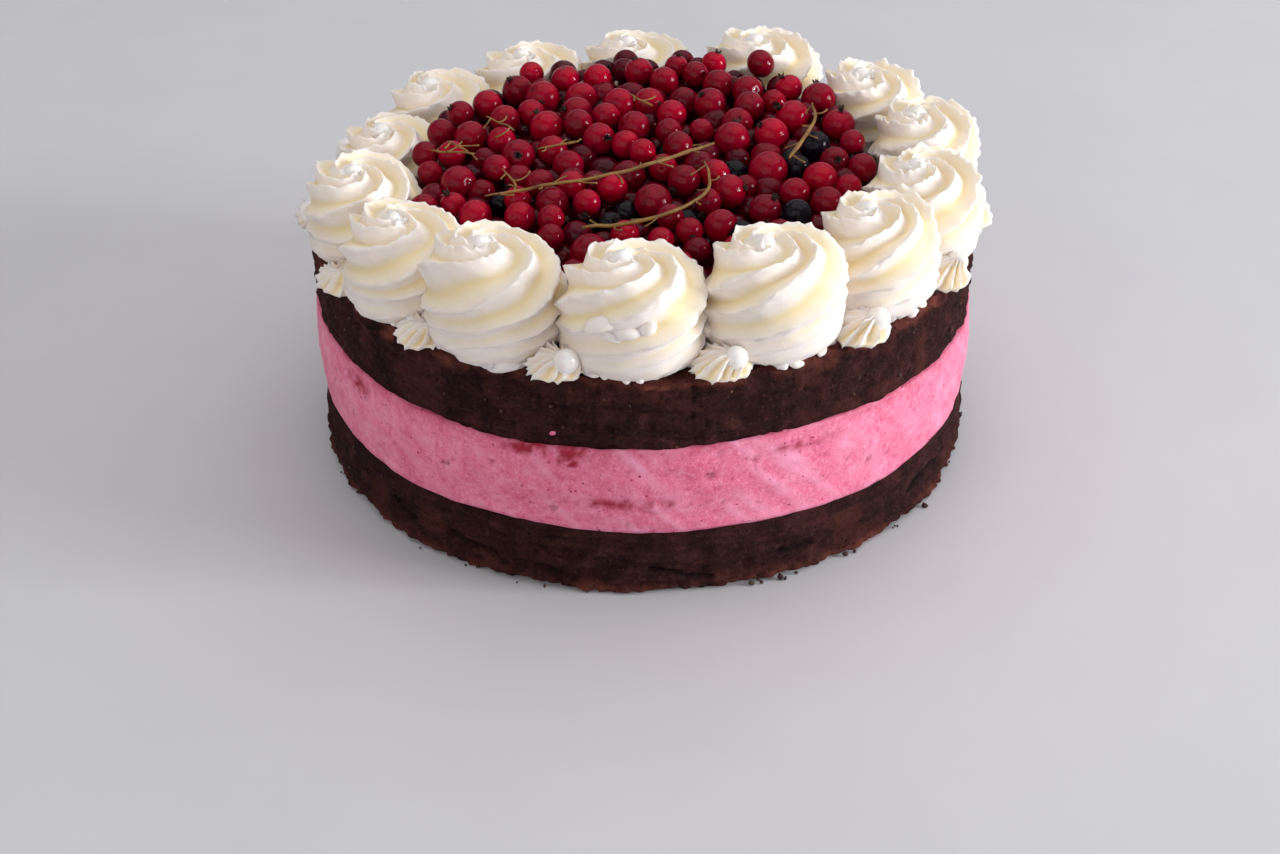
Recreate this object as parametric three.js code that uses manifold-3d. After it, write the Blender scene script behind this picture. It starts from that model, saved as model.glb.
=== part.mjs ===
// A chocolate mousse cake: a dark sponge, a layer of pink fruit mousse and a second dark sponge, with a
// ring of piped cream swirls on top, small cream stars between them at the rim, sugar pearls on the swirls
// and stars, and a heap of redcurrants with a few of their stalks inside the ring. Millimetres, +Z up. The
// origin is the middle of the flat underside, and the front of the cake faces -Y.
import * as THREE from "three";
import { mergeVertices } from "three/addons/utils/BufferGeometryUtils.js";
import Module from "manifold-3d";

const wasm = await Module();
wasm.setup();

// The three layers, from a 20 cm cake ring.
const CAKE_RADIUS = 100;
const BASE_TOP = 20.5;
const MOUSSE_TOP = 48.5;
const SPONGE_TOP = 70;
const LAYER_GAP = 0.1;
const LAYER_SIDES = 54;

// The cream swirls, uneven as by hand: for each its angle anticlockwise from +X, its distance from the
// middle of the cake, the turn of its arms in degrees, its width from its middle out and its height.
// Towards the front they are wider and taller.
const SWIRL_PLACES = [
  [268, 86.3, 52, 19.8, 30.6], [294, 86, 46, 20.1, 31.3], [319.5, 85.5, 52, 19.2, 29.2],
  [342.5, 85.5, 20, 19.8, 27.8], [4.5, 85.5, 60, 19.2, 29.3], [30, 83, 35, 18.8, 27.2],
  [61, 82.5, 10, 19.2, 26.2], [91.5, 79.5, 50, 18.4, 22.8], [117.5, 79.8, 25, 18.6, 22.2],
  [143.5, 81, 65, 18.6, 22], [169.5, 78.7, 40, 18.2, 21.8], [195, 84.5, 15, 19.9, 25.2],
  [219.5, 86.3, 50, 19.7, 26.8], [242, 87, 32, 20.3, 30.6],
];
const SWIRL_DEPTH = 0.9;
const SWIRL_ARMS = 5;
const SWIRL_GROOVE = 2.9;
const CREAM_GAP = 0.15;
// How a swirl narrows from its foot to its peak: share of its width, share of its height, turn of its arms in
// degrees and share of the full groove. The arms run nearly level round its foot and wind up to its peak.
const SWIRL_SIDE = [
  [0.76, 0, -116, 0.1], [0.95, 0.2, -70, 0.25], [0.98, 0.39, -29, 0.75], [1.01, 0.6, -2, 1.1],
  [0.95, 0.81, 22, 1.15], [0.79, 0.945, 53, 1.1], [0.57, 0.995, 95, 1], [0.32, 1, 152, 0.8],
];

// The small cream stars, two of them with no pearl, and the sugar pearls, which lie beside the middle of what
// they are pressed into.
const STAR_RING = 96.3;
const STAR_WIDTH = 8.4;
const STAR_HEIGHT = 8.6;
const STAR_LOBES = 7;
const STAR_GROOVE = 1.9;
const STAR_SIDE = [[1, 0, 0, 1], [1, 0.35, 8, 1], [0.52, 0.85, 22, 1]];
const BARE_STARS = [12, 13];
const PEARL_RADIUS = 3.5;
const PEARL_PRESS = 1.9;
const SWIRL_PEARL = [-2.6, 1.6];
const STAR_PEARL = [3.4, 3.6];
const NICHE_SIDES = 8;

// The heap of redcurrants, which stands highest towards the back.
const BERRY_RADIUS = 4.75;
const BERRY_SPREAD = 0.18;
const BERRY_SWELL = 1.06;
const HEAP_RADIUS = 76;
const HEAP_RISE = 27;
const HEAP_SAG = 3.5;
const HEAP_LEAN = 6;
const HEAP_LEAN_TURN = 85;
const HEAP_SEED = 20;
const DROP_TRIES = 120;
const DROP_MISSES = 30;
const DROP_RADIUS = 60;
const DROP_SHIFT = -7;
const BERRY_PROUD = 1;
const BERRY_PRESS = 1;
const BERRY_SHOWN = 1.6;
const CORE_RADIUS = 68;
const CORE_DEPTH = 6;
const CORE_SIDES = 20;
// The room that the heap leaves for a swirl: its number of sides, and share of width and of height up its
// side.
const ROOM_GAP = 0.3;
const ROOM_SIDES = 9;
const ROOM_SIDE = [[1, 0, 0, 0], [1.03, 0.68, 0, 0], [0.84, 0.96, 0, 0]];

// The redcurrants on top, laid by hand. For each its place seen from above, its width and how far it lies
// under the surface of the heap. The last nine are dark currants.
const LAID_BERRIES = [
  [-37, -4, 10.2, 0], [-29, 13, 10.7, 0], [-13, 4, 9.9, 0], [-7, 26, 10.6, 0], [-26, -31, 9.9, 0],
  [-16, -33, 8, 0], [-35, -38, 9.3, 0], [-15, -55, 11.3, 0], [-19, -62, 8.5, 3], [-5, -49, 8.5, 0],
  [-52, 9, 11, 0], [-48, 29, 9.4, 0], [-42, 18, 9.4, 0], [-56, 23, 8.5, 0], [-61, 12, 9, 0],
  [-65, -1, 8.2, 0], [-57, -2, 8.4, 0], [-54, -17, 11, 0], [-43, -12, 8.2, 0], [-63, -31, 8.4, 0],
  [-48, -35, 10, 0.5], [-31, 33, 11, 0], [-39, 38, 9.8, 0], [-35, 48, 8, 0], [-24, 44, 9.2, 0],
  [-20, 21, 10, 0], [-19, 33, 10.2, 1], [-14, 44, 9, 0], [-1, 48, 9.3, 0], [-5, 1, 8.8, 1], [0, -6, 8, 0],
  [3, -31, 11.2, 0], [2, 26, 10.2, 0], [37, -13, 11.8, 0], [27, 4, 10.8, 0], [39, 7, 10.5, 0],
  [38, 53, 9.2, -1], [55, 32, 11, 0], [60, 15, 10.2, 0], [52, -18, 10.6, 0], [57, -7, 9.2, 1],
  [63, 2, 7.8, 0], [65, -10, 8.8, 1], [60, -22, 7.8, 1], [53, -31, 10, 0], [44, -27, 9.1, 0],
  [35, -36, 9.6, 0], [25, -26, 10.2, 0], [22, -44, 10.1, 0], [13, -48, 7.9, 0], [12, -21, 9.7, 0],
  [46, 19, 10.8, 0], [46, 37, 8.9, 0], [33, 35, 10, 0], [33, 24, 9.6, 0], [29, 15, 9.7, 1],
  [21, 26, 10.3, 0], [17, 45, 8.4, 0], [23, 53, 8.3, 0], [24, 39, 10, 0], [7, 41, 9.2, 0], [11, 50, 7.5, 0],
  [9, 20, 9.6, 1], [8, 8, 8.3, 1], [18, 10, 8, 2], [-63, -9, 8, 2], [-47, -4, 7.5, 2], [-30, -18, 9, 2],
  [-22, -8, 9.7, 2], [-14, -18, 8.2, 3], [-26, -48, 8, 1], [17, -8, 10.3, 3], [37, -2, 10, 3],
  [41, 30, 8.2, 2], [30, -21, 7.7, 3], [15, -54, 8, 2], [5, -51, 7.6, 1], [-47, -20, 8, 3], [52, 2, 9, 1],
  [46, -11, 8, 2], [44, -38, 9, 0], [27, -11, 9, 4], [-9, -40, 8, 3], [28, -46, 8, 2], [-5, -31, 9, 5],
  [13, -36, 9, 5], [-41, -24, 8, 5],
];

// The stalks that lie on the heap, as places seen from above.
const STALK_RADIUS = 0.8;
const STALKS = [
  [[-45, -34], [-22, -29], [-1, -22], [21, -9]],
  [[18, -19], [19, -33], [10, -44], [-3, -50], [-17, -52]],
  [[52, 18], [51, 4], [43, -16]],
  [[-63, -7], [-49, -10]],
];

const sponge = new THREE.MeshStandardMaterial({ color: 0x3a2422, roughness: 0.9, metalness: 0 });
const mousse = new THREE.MeshStandardMaterial({ color: 0xe0809f, roughness: 0.6, metalness: 0 });
const cream = new THREE.MeshStandardMaterial({ color: 0xf3ecd9, roughness: 0.5, metalness: 0 });
const fruit = new THREE.MeshStandardMaterial({ color: 0x9c0f22, roughness: 0.25, metalness: 0 });

const turnOf = (degrees) => (degrees * Math.PI) / 180;
const mix = THREE.MathUtils.lerp;
const onRing = (ring, turn) => new THREE.Vector3(ring * Math.cos(turn), ring * Math.sin(turn), 0);

// Repeatable random numbers from 0 to 1.
function makeDice(seed) {
  let state = seed;
  return () => {
    state = (state * 16807) % 2147483647;
    return state / 2147483647;
  };
}

// A closed geometry as a solid for joining and cutting.
function solidOf(geometry) {
  const bare = geometry.clone();
  bare.deleteAttribute("normal");
  bare.deleteAttribute("uv");
  const merged = mergeVertices(bare, 1e-4);
  return new wasm.Manifold(
    new wasm.Mesh({
      numProp: 3,
      vertProperties: new Float32Array(merged.attributes.position.array),
      triVerts: new Uint32Array(merged.index.array),
    }),
  );
}

// A solid as a named mesh. Only its largest body is kept, which drops loose scraps and fills sealed hollows.
function meshOf(name, solid, material) {
  const largest = solid.decompose().reduce((a, b) => (b.volume() > a.volume() ? b : a));
  const { numProp, vertProperties, triVerts } = largest.getMesh();
  const places = new Float32Array((vertProperties.length / numProp) * 3);
  for (let i = 0; i < places.length / 3; i++) {
    places.set(vertProperties.subarray(i * numProp, i * numProp + 3), i * 3);
  }
  const geometry = new THREE.BufferGeometry();
  geometry.setAttribute("position", new THREE.BufferAttribute(places, 3));
  geometry.setIndex(new THREE.BufferAttribute(triVerts, 1));
  const flat = geometry.toNonIndexed();
  flat.computeVertexNormals();
  const mesh = new THREE.Mesh(flat, material);
  mesh.name = name;
  return mesh;
}

// A closed skin over rings of points, each ring with as many points, with one more point to close each end.
function skinOf(rings, first, last) {
  const sides = rings[0].length;
  const points = [first, ...rings.flat(), last];
  const at = (ring, side) => 1 + ring * sides + (side % sides);
  const faces = [];
  for (let side = 0; side < sides; side++) {
    faces.push(0, at(0, side + 1), at(0, side));
    for (let ring = 0; ring + 1 < rings.length; ring++) {
      faces.push(at(ring, side), at(ring, side + 1), at(ring + 1, side));
      faces.push(at(ring, side + 1), at(ring + 1, side + 1), at(ring + 1, side));
    }
    faces.push(points.length - 1, at(rings.length - 1, side), at(rings.length - 1, side + 1));
  }
  const geometry = new THREE.BufferGeometry().setFromPoints(points);
  geometry.setIndex(faces);
  return geometry;
}

// How far the seam over a layer rises or falls round the rim, as the mousse settled unevenly.
const flatSeam = () => 0;
const baseSeam = (turn) => Math.cos(turn - turnOf(222)) + 0.4 * Math.sin(9 * turn);
const mousseSeam = (turn) => 1.2 * Math.cos(3 * (turn - turnOf(302))) + 1.2 * Math.cos(turn - turnOf(190));

// The crumbly side of a sponge, or the smoother side of the mousse, as a change of the radius.
const crag = (turn, z) =>
  0.35 * Math.sin(11 * turn + z) + 0.3 * Math.sin(17 * turn - 2 * z) + 0.25 * Math.sin(29 * turn + 3 * z);

// One layer of the cake: a disc whose side follows [share of height, change of radius] pairs from its foot
// up.
function layerOf({ foot, top, footSeam, topSeam, side, rough }) {
  const rings = side.map(([height, swell]) =>
    Array.from({ length: LAYER_SIDES }, (_, n) => {
      const turn = (2 * Math.PI * n) / LAYER_SIDES;
      const z = mix(foot + footSeam(turn), top + topSeam(turn), height);
      return onRing(CAKE_RADIUS + swell + rough * crag(turn, z), turn).setZ(z);
    }),
  );
  return skinOf(rings, new THREE.Vector3(0, 0, foot), new THREE.Vector3(0, 0, top));
}

// A mound of piped cream with its foot at z 0: crisp ridges that turn as they rise, with a groove between
// each two that is sunk into the surface. Each ridge has the given number of columns of points, its crest
// and the groove beside it.
function moundOf({ side, lobes, columns, width, peak, groove }) {
  const rings = side.map(([reach, level, degrees, share], row) => {
    const [reachBelow, levelBelow] = side[row - 1] ?? side[row];
    const [reachAbove, levelAbove] = side[row + 1] ?? side[row];
    const along = new THREE.Vector2(width * (reachAbove - reachBelow), peak * (levelAbove - levelBelow));
    along.normalize();
    return Array.from({ length: columns * lobes }, (_, n) => {
      const sunk = n % columns ? groove * share : 0;
      const turn = (2 * Math.PI * n) / (columns * lobes) + turnOf(degrees);
      return onRing(width * reach - sunk * along.y, turn).setZ(Math.max(0, peak * level + sunk * along.x));
    });
  });
  return solidOf(skinOf(rings, new THREE.Vector3(0, 0, 0), new THREE.Vector3(0, 0, peak)));
}

// A sugar pearl, with few sides.
function pearlAt(x, y, z) {
  const pearl = new THREE.SphereGeometry(PEARL_RADIUS, 6, 4);
  return solidOf(pearl.rotateX(1).translate(x, y, z));
}

const swirls = SWIRL_PLACES.map(([degrees, ring, start, width, height]) => {
  const turn = turnOf(degrees);
  return { turn, place: onRing(ring, turn), start: start - degrees, width, height };
});

const stars = swirls.map(({ turn }, n) => {
  const span = (swirls[(n + 1) % swirls.length].turn - turn + 2 * Math.PI) % (2 * Math.PI);
  const middle = turn + 0.54 * span;
  return { turn: middle, place: onRing(STAR_RING, middle) };
});

// A swirl with its pearl as it stands in the ring, round its own axis: flattened a little towards the middle
// of the cake, cut half way to each neighbour, and pressed in by the stars beside it.
function swirlOf(n) {
  const { turn, place, width, height, start } = swirls[n];
  const sizes = { width, peak: height, groove: SWIRL_GROOVE };
  let solid = moundOf({ side: SWIRL_SIDE, lobes: SWIRL_ARMS, columns: 3, ...sizes })
    .rotate([0, 0, start])
    .scale([SWIRL_DEPTH, 1, 1])
    .rotate([0, 0, THREE.MathUtils.radToDeg(turn)])
    .add(pearlAt(...SWIRL_PEARL, height - PEARL_PRESS));
  for (const other of [swirls.at(n - 1), swirls[(n + 1) % swirls.length]]) {
    const away = place.clone().sub(other.place);
    const spacing = away.length();
    solid = solid.trimByPlane(away.normalize().toArray(), CREAM_GAP - spacing / 2);
  }
  for (const star of [stars.at(n - 1), stars[n]]) {
    const niche = new THREE.CylinderGeometry(STAR_WIDTH, STAR_WIDTH + 1, STAR_HEIGHT + 3, NICHE_SIDES);
    const offset = star.place.clone().sub(place);
    niche.rotateX(Math.PI / 2).translate(offset.x, offset.y, STAR_HEIGHT / 2);
    solid = solid.subtract(solidOf(niche));
  }
  return solid;
}

// A small piped star. Its own +X points out of the cake.
function starOf(n) {
  const sizes = { width: STAR_WIDTH, peak: STAR_HEIGHT, groove: STAR_GROOVE };
  const star = moundOf({ side: STAR_SIDE, lobes: STAR_LOBES, columns: 2, ...sizes });
  return BARE_STARS.includes(n + 1) ? star : star.add(pearlAt(...STAR_PEARL, STAR_HEIGHT - PEARL_RADIUS));
}

// How high above the sponge a ball is held by the flank of the nearest swirl.
function creamLift(x, y, radius) {
  let lift = 0;
  for (const { turn, place, width, height } of swirls) {
    const out = (x - place.x) * Math.cos(turn) + (y - place.y) * Math.sin(turn);
    const side = (y - place.y) * Math.cos(turn) - (x - place.x) * Math.sin(turn);
    const clear = Math.hypot(out / SWIRL_DEPTH, side) - radius - 0.6;
    const level = Math.max(0, clear) / width;
    if (level < 1) lift = Math.max(lift, (height + radius) * (1 - level ** 2.5) ** 0.4);
  }
  return lift;
}

// The height that the tops of the redcurrants reach.
function heapTop(x, y) {
  const reach = Math.hypot(x, y) / HEAP_RADIUS;
  const lean = HEAP_LEAN * reach * Math.cos(Math.atan2(y, x) - turnOf(HEAP_LEAN_TURN));
  return SPONGE_TOP + HEAP_RISE - HEAP_SAG * reach * reach + lean;
}

// The redcurrants laid by hand, at the surface of the heap or where the cream holds them.
function layBerries() {
  return LAID_BERRIES.map(([x, y, width, sunk]) => {
    const radius = width / 2;
    const held = SPONGE_TOP + creamLift(x, y, radius) - BERRY_PRESS;
    const z = Math.max(heapTop(x, y) - radius - sunk, held);
    return { x, y, z, radius, depth: heapTop(x, y) - z - radius };
  });
}

// The other redcurrants, dropped one by one, each into the deepest of a few random places, until the heap is
// full.
function dropBerries(laid) {
  const dice = makeDice(HEAP_SEED);
  const berries = [...laid];
  let misses = 0;
  while (misses < DROP_MISSES) {
    const radius = BERRY_RADIUS * (1 + BERRY_SPREAD * (2 * dice() - 1));
    let best = null;
    for (let tries = 0; tries < DROP_TRIES; tries++) {
      const reach = DROP_RADIUS * Math.sqrt(dice());
      const turn = 2 * Math.PI * dice();
      const x = reach * Math.cos(turn);
      const y = reach * Math.sin(turn) + DROP_SHIFT;
      let z = SPONGE_TOP + Math.max(radius, creamLift(x, y, radius));
      for (const other of berries) {
        const room = (radius + other.radius) ** 2 - (x - other.x) ** 2 - (y - other.y) ** 2;
        if (room > 0) z = Math.max(z, other.z + Math.sqrt(room));
      }
      const depth = heapTop(x, y) - z - radius;
      if (!best || depth > best.depth) best = { x, y, z, radius, depth };
    }
    if (best.depth > -BERRY_PROUD) berries.push(best);
    else misses += 1;
  }
  return berries;
}

// A bent stalk that lies on the heap, thinner towards its ends.
function stalkOf(places) {
  const points = places.map(([x, y]) => new THREE.Vector3(x, y, heapTop(x, y) - STALK_RADIUS));
  const rings = points.map((point, n) => {
    const along = (points[n + 1] ?? point).clone().sub(points[n - 1] ?? point).normalize();
    const across = new THREE.Vector3(-along.y, along.x, 0).normalize();
    const up = new THREE.Vector3().crossVectors(along, across);
    return [0, 1, 2, 3].map((side) => {
      const turn = (Math.PI * side) / 2;
      return point
        .clone()
        .addScaledVector(across, STALK_RADIUS * Math.cos(turn))
        .addScaledVector(up, STALK_RADIUS * Math.sin(turn));
    });
  });
  return solidOf(skinOf(rings, points[0], points.at(-1)));
}

// The room that a swirl takes, rounded out to its crests.
function roomOf({ place, width, height }) {
  const reach = (width + ROOM_GAP) / Math.cos(Math.PI / ROOM_SIDES);
  const sizes = { width: reach, peak: height + ROOM_GAP, groove: 0 };
  const room = moundOf({ side: ROOM_SIDE, lobes: ROOM_SIDES, columns: 1, ...sizes });
  return room.translate([place.x, place.y, SPONGE_TOP]);
}

// The heap: a core under its surface, with the berries that show and the stalks fused to it. The cream of the
// swirls holds it in.
function heapOf(berries) {
  const rings = [[1, 0], [1, 1], [0.75, 1], [0.5, 1], [0.25, 1]].map(([reach, level]) =>
    Array.from({ length: CORE_SIDES }, (_, side) => {
      const point = onRing(CORE_RADIUS * reach, (2 * Math.PI * side) / CORE_SIDES);
      return point.setZ(mix(SPONGE_TOP, heapTop(point.x, point.y) - CORE_DEPTH, level));
    }),
  );
  const middle = new THREE.Vector3(0, 0, heapTop(0, 0) - CORE_DEPTH);
  const core = solidOf(skinOf(rings, new THREE.Vector3(0, 0, SPONGE_TOP), middle));
  const dice = makeDice(HEAP_SEED + 1);
  const balls = berries
    .filter(({ depth }) => depth < BERRY_SHOWN)
    .map(({ x, y, z, radius }) => {
      const ball = new THREE.IcosahedronGeometry(radius * BERRY_SWELL, 0);
      ball.rotateX(2 * Math.PI * dice()).rotateY(2 * Math.PI * dice()).translate(x, y, z);
      return solidOf(ball);
    });
  return wasm.Manifold.union([core, ...balls, ...STALKS.map(stalkOf)])
    .subtract(wasm.Manifold.union(swirls.map(roomOf)))
    .trimByPlane([0, 0, 1], SPONGE_TOP + LAYER_GAP);
}

const cake = new THREE.Group();
cake.name = "chocolate_mousse_cake";
const layers = {
  sponge_base: {
    foot: 0, top: BASE_TOP - LAYER_GAP, footSeam: flatSeam, topSeam: baseSeam, rough: 1,
    side: [[0, -1.6], [0.05, 0.2], [0.5, 0], [1, -0.8]],
  },
  mousse: {
    foot: BASE_TOP, top: MOUSSE_TOP - LAYER_GAP, footSeam: baseSeam, topSeam: mousseSeam, rough: 0.3,
    side: [[0, -0.2], [0.5, 1], [1, 0.4]],
  },
  sponge_top: {
    foot: MOUSSE_TOP, top: SPONGE_TOP, footSeam: mousseSeam, topSeam: flatSeam, rough: 0.8,
    side: [[0, -0.4], [0.5, -0.2], [0.93, -0.5], [1, -1.9]],
  },
};
for (const [name, layer] of Object.entries(layers)) {
  cake.add(meshOf(name, solidOf(layerOf(layer)), name === "mousse" ? mousse : sponge));
}
const creamFoot = SPONGE_TOP + LAYER_GAP;
swirls.forEach(({ place }, n) => {
  const swirl = meshOf("swirl_" + String(n + 1).padStart(2, "0"), swirlOf(n), cream);
  swirl.position.set(place.x, place.y, creamFoot);
  cake.add(swirl);
});
stars.forEach(({ place, turn }, n) => {
  const star = meshOf("star_" + String(n + 1).padStart(2, "0"), starOf(n), cream);
  star.position.set(place.x, place.y, creamFoot);
  star.rotation.z = turn;
  cake.add(star);
});
cake.add(meshOf("redcurrants", heapOf(dropBerries(layBerries())), fruit));

export default cake;
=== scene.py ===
import math

import bpy
import numpy as np
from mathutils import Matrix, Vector


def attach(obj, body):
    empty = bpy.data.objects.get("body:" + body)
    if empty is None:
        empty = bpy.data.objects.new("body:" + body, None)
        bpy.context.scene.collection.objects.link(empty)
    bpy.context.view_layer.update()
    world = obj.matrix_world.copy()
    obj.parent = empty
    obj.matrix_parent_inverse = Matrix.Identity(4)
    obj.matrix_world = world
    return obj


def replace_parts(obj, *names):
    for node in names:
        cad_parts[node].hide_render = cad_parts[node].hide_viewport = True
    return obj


# A chocolate mousse cake with piped cream and redcurrants. Shapes are worked out in millimetres,
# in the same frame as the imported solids, and turned into metres when a mesh is made.
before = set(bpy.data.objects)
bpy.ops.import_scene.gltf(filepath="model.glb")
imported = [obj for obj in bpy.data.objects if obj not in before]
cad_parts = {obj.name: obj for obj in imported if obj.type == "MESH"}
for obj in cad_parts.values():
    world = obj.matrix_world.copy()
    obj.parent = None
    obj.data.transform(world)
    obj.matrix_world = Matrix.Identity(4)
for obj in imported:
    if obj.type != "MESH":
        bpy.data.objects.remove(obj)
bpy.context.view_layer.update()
mm = 0.001

camera = {
    "lens": 59.06, "sensor": 36.0, "near": 0.01, "far": 20,
    "place": (0.0, -0.5736, 0.3610),
    "turn": (57.222, 0.428, -0.131),  # degrees
}


def placeCamera():
    eye = bpy.data.objects.new("camera", bpy.data.cameras.new("camera"))
    bpy.context.scene.collection.objects.link(eye)
    eye.data.lens = camera["lens"]
    eye.data.sensor_width = camera["sensor"]
    eye.data.clip_start = camera["near"]
    eye.data.clip_end = camera["far"]
    eye.location = camera["place"]
    eye.rotation_euler = [math.radians(a) for a in camera["turn"]]
    bpy.context.scene.camera = eye


placeCamera()
print("camera placed")


# Colours are given as seen on a screen, 0 to 255.
def tint(red, green, blue):
    part = [c / 255 for c in (red, green, blue)]
    return tuple(c / 12.92 if c <= 0.04045 else ((c + 0.055) / 1.055) ** 2.4 for c in part) + (1.0,)


# Smooth random values from -1 to 1 at points, for lumps about size mm across. The large numbers only stir
# the seed.
def lumps(points, size, seed):
    spot = np.asarray(points, float) / size + 61.7
    cell = np.floor(spot).astype(np.int64)
    part = spot - cell
    part = part * part * (3 - 2 * part)
    total = np.zeros(len(spot))
    for corner in range(8):
        step = np.array([corner & 1, corner >> 1 & 1, corner >> 2 & 1])
        key = (cell + step) @ np.array([73856093, 19349663, 83492791]) + seed * 1013904223
        key = (key ^ (key >> 13)) * 1274126177 & 0x7FFFFFFF
        key = (key ^ (key >> 16)) & 0xFFFF
        total += np.prod(np.where(step, part, 1 - part), 1) * (key / 32767.5 - 1)
    return total


# Lumps given by how strong they are, their size across in mm and a seed of their own.
def lumpsOf(points, rule):
    strength, across, seed = rule
    return strength * lumps(points, across, seed)


# How far each turn is from another, from half a turn back to half a turn on.
def turnsApart(turns, other):
    return (turns - other + math.pi) % (2 * math.pi) - math.pi


def makePiece(name, points, faces, material):
    mesh = bpy.data.meshes.new(name)
    mesh.from_pydata((np.asarray(points) * mm).tolist(), [], np.asarray(faces).tolist())
    mesh.update()
    mesh.polygons.foreach_set("use_smooth", [True] * len(mesh.polygons))
    piece = bpy.data.objects.new(name, mesh)
    bpy.context.scene.collection.objects.link(piece)
    mesh.materials.append(material)
    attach(piece, "root")
    return piece


# A value for each point of a piece, which its material reads.
def markPoints(piece, name, values):
    mark = piece.data.attributes.new(name, "FLOAT", "POINT")
    mark.data.foreach_set("value", np.asarray(values, np.float32))


# Faces over rows of points that close round, each row with the same number of columns.
def roundFaces(rows, columns, first=0):
    row, column = np.meshgrid(np.arange(rows - 1), np.arange(columns), indexing="ij")
    following = (column + 1) % columns
    corners = [row * columns + column, row * columns + following,
               (row + 1) * columns + following, (row + 1) * columns + column]
    return first + np.stack(corners, -1).reshape(-1, 4)


# Evenly spaced samples of a smooth curve through rows whose first two values are places.
def smoothRows(rows, count, perSpan=24):
    rows = np.array(rows, float)
    wide = np.vstack([2 * rows[0] - rows[1], rows, 2 * rows[-1] - rows[-2]])
    t = np.linspace(0, 1, perSpan, endpoint=False)[:, None]
    runs = []
    for a, b, c, d in zip(wide, wide[1:], wide[2:], wide[3:]):
        squared, cubed = 2 * a - 5 * b + 4 * c - d, 3 * b - a - 3 * c + d
        runs.append((2 * b + (c - a) * t + squared * t ** 2 + cubed * t ** 3) / 2)
    dense = np.vstack(runs + [rows[-1:]])
    along = np.r_[0, np.cumsum(np.hypot(*np.diff(dense[:, :2], axis=0).T))]
    even = np.linspace(0, along[-1], count)
    return np.stack([np.interp(even, along, column) for column in dense.T], 1)


def addNode(tree, kind, inputs=None, **settings):
    node = tree.nodes.new("ShaderNode" + kind)
    for key, value in settings.items():
        setattr(node, key, value)
    for key, value in (inputs or {}).items():
        if isinstance(value, bpy.types.NodeSocket):
            tree.links.new(value, node.inputs[key])
        else:
            node.inputs[key].default_value = value
    return node


# A colour or a value picked along a ramp of (place, colour) stops.
def rampOf(tree, factor, stops):
    node = addNode(tree, "ValToRGB", {"Fac": factor})
    elements = node.color_ramp.elements
    while len(elements) < len(stops):
        elements.new(1.0)
    for element, (place, colour) in zip(elements, stops):
        element.position = place
        element.color = colour if isinstance(colour, tuple) else (colour, colour, colour, 1)
    return node.outputs["Color"]


# Lays colours over a first one, each where its mask is.
def laidOver(tree, colour, layers):
    for mask, over in layers:
        node = addNode(tree, "Mix", {0: mask, 6: colour, 7: over}, data_type="RGBA")
        colour = node.outputs[2]
    return colour


def newGroup(name, inputs, outputs):
    group = bpy.data.node_groups.new(name, "ShaderNodeTree")
    for label, start in inputs:
        socket = group.interface.new_socket(name=label, in_out="INPUT", socket_type="NodeSocketFloat")
        socket.default_value = start
    for label in outputs:
        group.interface.new_socket(name=label, in_out="OUTPUT", socket_type="NodeSocketFloat")
    return group, group.nodes.new("NodeGroupInput"), group.nodes.new("NodeGroupOutput")


# A texture's scale from a size in mm.
def scaleFor(group, size):
    return addNode(group, "Math", {0: 1 / mm, 1: size}, operation="DIVIDE").outputs[0]


# Crumb and foam: fine and coarse lumps as a height, and a broad mottling for colours.
def buildGrain():
    group, given, result = newGroup(
        "foodGrain", [("Fine size", 1.0), ("Coarse size", 4.0), ("Coarse share", 0.4)],
        ["Height", "Mottle"])
    place = addNode(group, "TexCoord")
    heights = []
    for label, detail in (("Fine size", 5.0), ("Coarse size", 3.0)):
        noise = addNode(group, "TexNoise", {
            "Vector": place.outputs["Object"], "Scale": scaleFor(group, given.outputs[label]),
            "Detail": detail, "Roughness": 0.6})
        heights.append(noise.outputs["Fac"])
    blend = addNode(group, "Mix", {0: given.outputs["Coarse share"], 2: heights[0], 3: heights[1]})
    group.links.new(blend.outputs[0], result.inputs["Height"])
    group.links.new(heights[1], result.inputs["Mottle"])
    return group


# Scattered round spots, such as bubble holes or pale crumbs: 1 inside a spot and 0 around it.
def buildSpots():
    group, given, result = newGroup(
        "scatteredSpots", [("Spacing", 3.0), ("Spot size", 0.4), ("Share", 0.3)], ["Spots"])

    def sumOf(operation, first, second, clamped=False):
        inputs = {0: first, 1: second}
        return addNode(group, "Math", inputs, operation=operation, use_clamp=clamped).outputs[0]

    place = addNode(group, "TexCoord")
    scale = scaleFor(group, given.outputs["Spacing"])
    cells = addNode(group, "TexVoronoi", {"Vector": place.outputs["Object"], "Scale": scale})
    chance = addNode(group, "SeparateColor", {"Color": cells.outputs["Color"]})
    radius = sumOf("DIVIDE", given.outputs["Spot size"], given.outputs["Spacing"])
    grown = sumOf("MULTIPLY", radius, chance.outputs[1])
    inside = sumOf("SUBTRACT", grown, cells.outputs["Distance"])
    sharp = sumOf("MULTIPLY", inside, 12.0, clamped=True)  # how crisp the edge of a spot is
    kept = sumOf("GREATER_THAN", given.outputs["Share"], chance.outputs[0])
    group.links.new(sumOf("MULTIPLY", sharp, kept), result.inputs["Spots"])
    return group


foodGrain = buildGrain()
scatteredSpots = buildSpots()
print("shared effects built")


def newMaterial(name, constants):
    material = bpy.data.materials.new(name)
    material.use_nodes = True
    tree = material.node_tree
    shader = tree.nodes["Principled BSDF"]
    for label, value in constants.items():
        shader.inputs[label].default_value = value
    return material, tree, shader


# Places a shared effect in a material with its own values, in the order of the effect's inputs.
def placeEffect(tree, effect, values):
    node = tree.nodes.new("ShaderNodeGroup")
    node.node_tree = effect
    for socket, value in zip(node.inputs, values):
        socket.default_value = value
    return node.outputs


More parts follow.
